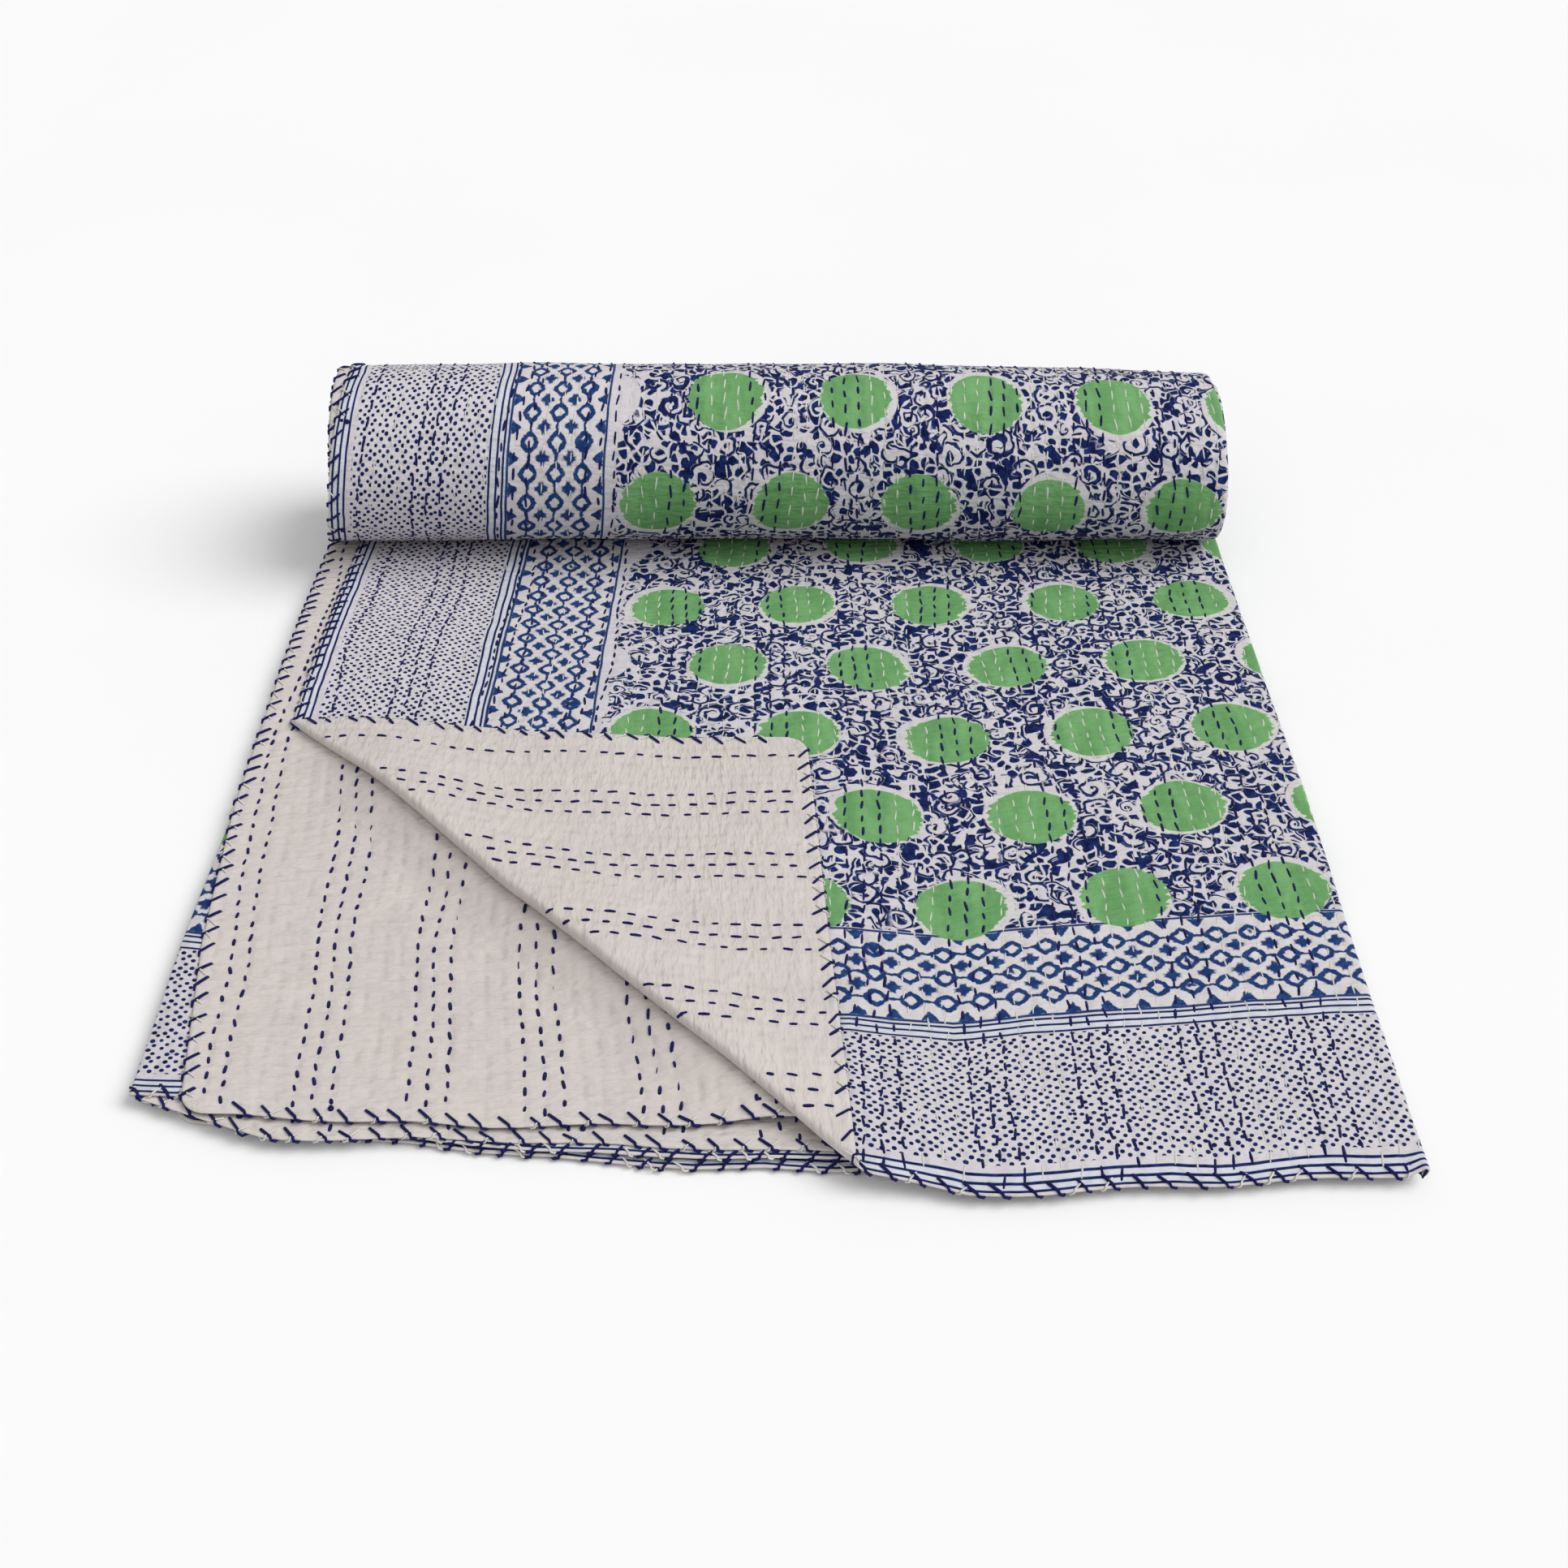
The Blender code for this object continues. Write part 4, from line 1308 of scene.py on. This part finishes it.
def plain_cotton(looks):
    """The plain side, with cooler patches and its hems a little yellowed."""
    material, shader, tree = new_material("plain cotton")
    place = cloth_place(tree)
    edge = hem_distances(place)[0]
    patch = place.noise(0.16, 3.0, 0.6)
    ground = patch.over(0.5, 0.2).mix(looks.backing, looks.cool_backing)
    aged = edge.under(1.2, 1.1) * place.noise(0.5, 2.0)
    finish_cloth(shader, aged.mix(ground, looks.hem), place, 0.0)
    return material


def twisted_thread(name, shade, worn, radius):
    """Cotton thread: its twist, its fuzz, and a tone along it that is partly random patches and
    partly painted light and shade of the twist.
    """
    material, shader, tree = new_material(name)
    wound = Wire(add_node(tree, "ShaderNodeUVMap", uv_map="thread").outputs[0])
    place = Wire(add_node(tree, "ShaderNodeTexCoord").outputs["Object"])
    gives = ("Height", "Tone and twist shade", "Fuzz")
    height, tone_and_relief_shade, fuzz = grouped("Thread twist", build_twist, gives, Wound=wound, Place=place)
    inputs = {
        # The first colour lies in the grooves of the twist and in dim patches, painted shade in
        # the grooves; the second lies on the ridges and in rubbed patches, painted light on the
        # ridges.
        "Base Color": tone_and_relief_shade.mix(shade, worn),
        "Roughness": fuzz.scale(0.0, 1.0, 0.62, 0.85),
        "Specular IOR Level": 0.12,
        "Sheen Weight": 0.03,
        "Normal": height.bump(0.6, radius * 0.5),
    }
    feed(shader, inputs)
    return material


# ---- Settings ----


class QuiltLooks(bpy.types.PropertyGroup):
    """Colours of the cloth and its print."""

    cream: colour_property("Cream", "Ground of the printed field", (203, 199, 203))
    cool_ground: colour_property("Cool ground", "Ground of the small dots", (205, 200, 204))
    warm_ground: colour_property("Warm ground", "Ground of the diamond band", (207, 202, 203))
    pale_blue: colour_property("Pale blue", "Ground of the border's stripes", (205, 206, 214))
    hem: colour_property("Hem", "The turned edge of the cloth", (205, 199, 195))
    backing: colour_property("Backing", "The plain side", (205, 197, 191))
    cool_backing: colour_property("Cool backing", "Cooler patches of the backing", (202, 195, 192))
    navy: colour_property("Navy", "Ink of the field, the small dots and the lines", (9, 20, 62))
    worn_navy: colour_property("Worn navy", "Navy ink where it took less well", (29, 49, 107))
    blue: colour_property("Blue", "Ink of the diamond band", (26, 54, 106))
    worn_blue: colour_property("Worn blue", "Blue ink where it took less well", (44, 76, 126))
    green: colour_property("Green", "The big dots", (95, 150, 90))
    bled_green: colour_property("Bled green", "Soft rim of the big dots", (196, 207, 180))
    light_green: colour_property("Light green", "Lighter streaks in the big dots", (113, 166, 106))


class ThreadLooks(bpy.types.PropertyGroup):
    """Sizes and colours of the hand stitching."""

    running_radius: radius_property("Running stitch", "the running stitches", 0.00076, 0.001)
    whip_radius: radius_property("Whip", "the stitches over the hem", 0.00080, 0.0012)
    pale_share: FloatProperty(
        name="Pale whips",
        description="Share of the hem's pale crossing stitches that are there",
        default=0.55,
        min=0.0,
        max=1.0,
        subtype="FACTOR",
    )
    seed: IntProperty(
        name="Hand",
        description="Which run of small uneven steps the hand takes",
        default=11,
        min=0,
    )
    blue: colour_property("Blue thread", "The dark thread", (17, 18, 78))
    # The worn blue is rubbed thread, and also stands for painted light on the ridges of the twist.
    worn_blue: colour_property("Worn blue thread", "The dark thread where rubbed", (31, 31, 100))
    white: colour_property("White thread", "The pale thread", (240, 238, 231))
    # The darker white is painted shade in the hollows between the plies, and also dimmer patches
    # of the thread.
    dim_and_shaded_white: colour_property("Dim and shaded white thread", "The pale thread's hollows", (224, 221, 212))


class StageLooks(bpy.types.PropertyGroup):
    """The floor and the lights."""

    floor: colour_property("Floor", "The pale floor", (245, 245, 245))
    sky: strength_property("Sky", "the even light from all round", 0.41)
    side_light: strength_property("Side light", "the soft light high on the right", 2.05)
    front_light: strength_property("Front light", "the wide light in front", 0.62)
    show_floor: BoolProperty(name="Floor", description="Whether the floor is there", default=True)


# ---- Operators ----


class QUILT_OT_running_stitches(bpy.types.Operator):
    """Sew the rows of running stitches that can be seen"""

    bl_idname = "quilt.running_stitches"
    bl_label = "Running Stitches"
    bl_options = {"REGISTER", "UNDO"}

    def execute(self, context):
        looks = context.scene.quilt_thread
        maker = np.random.default_rng(looks.seed)
        blue = twisted_thread("blue thread", looks.blue, looks.worn_blue, looks.running_radius)
        # The pale thread: its darker white is painted shade in the hollows of the twist, its white
        # lies on the ridges.
        white = twisted_thread("white thread", looks.dim_and_shaded_white, looks.white, looks.running_radius)
        fronts = stitch_bundle(True, False, looks.running_radius * FRONT_THICKNESS, maker)
        backs = stitch_bundle(True, True, looks.running_radius * BACK_THICKNESS, maker)
        pale = stitch_bundle(False, False, looks.running_radius * PALE_THICKNESS, maker)
        thread_piece("running_stitches_blue", [fronts, backs], blue)
        thread_piece("running_stitches_white", [pale], white)
        return {"FINISHED"}


class QUILT_OT_hem_stitches(bpy.types.Operator):
    """Sew the slanting stitches over the hems, with their knots"""

    bl_idname = "quilt.hem_stitches"
    bl_label = "Hem Stitches"
    bl_options = {"REGISTER", "UNDO"}

    def execute(self, context):
        looks = context.scene.quilt_thread
        maker = np.random.default_rng(looks.seed + 1)
        radius = looks.whip_radius
        whips = whip_bundle(radius, maker) + knot_bundle(radius * KNOT_THICKNESS, maker)
        pale_radius = radius * PALE_WHIP_THICKNESS
        pale = whip_bundle(pale_radius, maker, **PALE_WHIPS, share=looks.pale_share)
        thread_piece("hem_stitches_blue", whips, bpy.data.materials["blue thread"])
        thread_piece("hem_stitches_white", pale, bpy.data.materials["white thread"])
        return {"FINISHED"}


class QUILT_OT_cloth(bpy.types.Operator):
    """Make the folded and rolled cloth, in place of its plain solid"""

    bl_idname = "quilt.cloth"
    bl_label = "Cloth"
    bl_options = {"REGISTER", "UNDO"}

    def execute(self, context):
        looks = context.scene.quilt_looks
        mesh = sheet_mesh("quilt_cloth")
        mesh.materials.append(printed_cotton(looks))
        mesh.materials.append(plain_cotton(looks))
        cloth = place_piece("quilt_cloth", mesh)
        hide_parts(CAD_NODE)
        return {"FINISHED"}


def soft_light(name, strength, spread, turn, rise):
    """A wide even light."""
    lamp = bpy.data.lights.new(name, "SUN")
    lamp.energy = strength
    lamp.angle = math.radians(spread)
    thing = bpy.data.objects.new(name, lamp)
    thing.rotation_euler = (math.radians(90 - rise), 0.0, math.radians(turn))
    bpy.context.scene.collection.objects.link(thing)


# The lights: how wide each is, how far round from the front it stands, and how high, in degrees.
SIDE_LIGHT = {"spread": 44.0, "turn": 86.0, "rise": 50.0}
FRONT_LIGHT = {"spread": 60.0, "turn": -8.0, "rise": 52.0}
CAMERA_PLACE = (-0.0070, -0.9732, 0.7560)
CAMERA_TURN = (52.0, 0.0, -1.2)
CAMERA_LENS = 50.2
CAMERA_SENSOR = 36.0
FLOOR_SIZE = 12.0
FLOOR_DROP = 0.0004


class QUILT_OT_stage(bpy.types.Operator):
    """Set the floor, the soft lights and the camera"""

    bl_idname = "quilt.stage"
    bl_label = "Stage"
    bl_options = {"REGISTER", "UNDO"}

    def execute(self, context):
        looks = context.scene.quilt_stage
        scene = context.scene
        scene.view_settings.view_transform = "Standard"
        world = bpy.data.worlds.new("soft sky")
        world.use_nodes = True
        sky = world.node_tree.nodes["Background"]
        sky.inputs["Color"].default_value = (1.0, 1.0, 1.0, 1.0)
        sky.inputs["Strength"].default_value = looks.sky
        scene.world = world
        soft_light("side light", looks.side_light, **SIDE_LIGHT)
        soft_light("front light", looks.front_light, **FRONT_LIGHT)
        if looks.show_floor:
            self.lay_floor(looks)
        lens = bpy.data.cameras.new("camera")
        lens.lens, lens.sensor_width = CAMERA_LENS, CAMERA_SENSOR
        camera = bpy.data.objects.new("camera", lens)
        camera.location = CAMERA_PLACE
        camera.rotation_euler = [math.radians(angle) for angle in CAMERA_TURN]
        scene.collection.objects.link(camera)
        scene.camera = camera
        return {"FINISHED"}

    def lay_floor(self, looks):
        half = FLOOR_SIZE / 2
        corners = [(-half, -half), (half, -half), (half, half), (-half, half)]
        mesh = bpy.data.meshes.new("floor")
        mesh.from_pydata([(x, y, -FLOOR_DROP) for x, y in corners], [], [(0, 1, 2, 3)])
        material, shader, tree = new_material("pale floor")
        place = Wire(add_node(tree, "ShaderNodeTexCoord").outputs["Object"])
        grain = place.noise(3.0, 3.0).scale(0.3, 0.7, 0.985, 1.0)
        base = grain.brighten(looks.floor[:3])
        feed(shader, {"Base Color": base, "Roughness": 0.85, "Specular IOR Level": 0.1})
        mesh.materials.append(material)
        floor = bpy.data.objects.new("floor", mesh)
        bpy.context.scene.collection.objects.link(floor)


class QUILT_PT_panel(bpy.types.Panel):
    """The quilt's pieces, sizes and colours"""

    bl_idname = "QUILT_PT_panel"
    bl_label = "Kantha Quilt"
    bl_space_type = "VIEW_3D"
    bl_region_type = "UI"
    bl_category = "Quilt"

    def draw(self, context):
        layout = self.layout
        for operator in OPERATORS:
            layout.operator(operator.bl_idname)
        for name in ("quilt_looks", "quilt_thread", "quilt_stage"):
            settings = getattr(context.scene, name)
            box = layout.box()
            for key in settings.__annotations__:
                box.prop(settings, key)


SETTINGS = {
    "quilt_looks": QuiltLooks,
    "quilt_thread": ThreadLooks,
    "quilt_stage": StageLooks,
}
OPERATORS = (
    QUILT_OT_running_stitches,
    QUILT_OT_hem_stitches,
    QUILT_OT_cloth,
    QUILT_OT_stage,
)


def register():
    for group in SETTINGS.values():
        bpy.utils.register_class(group)
    for name, group in SETTINGS.items():
        setattr(bpy.types.Scene, name, PointerProperty(type=group))
    for thing in (*OPERATORS, QUILT_PT_panel):
        bpy.utils.register_class(thing)


def unregister():
    for thing in reversed((*OPERATORS, QUILT_PT_panel)):
        bpy.utils.unregister_class(thing)
    for name in SETTINGS:
        delattr(bpy.types.Scene, name)
    for group in reversed(list(SETTINGS.values())):
        bpy.utils.unregister_class(group)


def main():
    register()
    bpy.ops.quilt.running_stitches()
    bpy.ops.quilt.hem_stitches()
    bpy.ops.quilt.cloth()
    bpy.ops.quilt.stage()


if __name__ == "__main__":
    main()
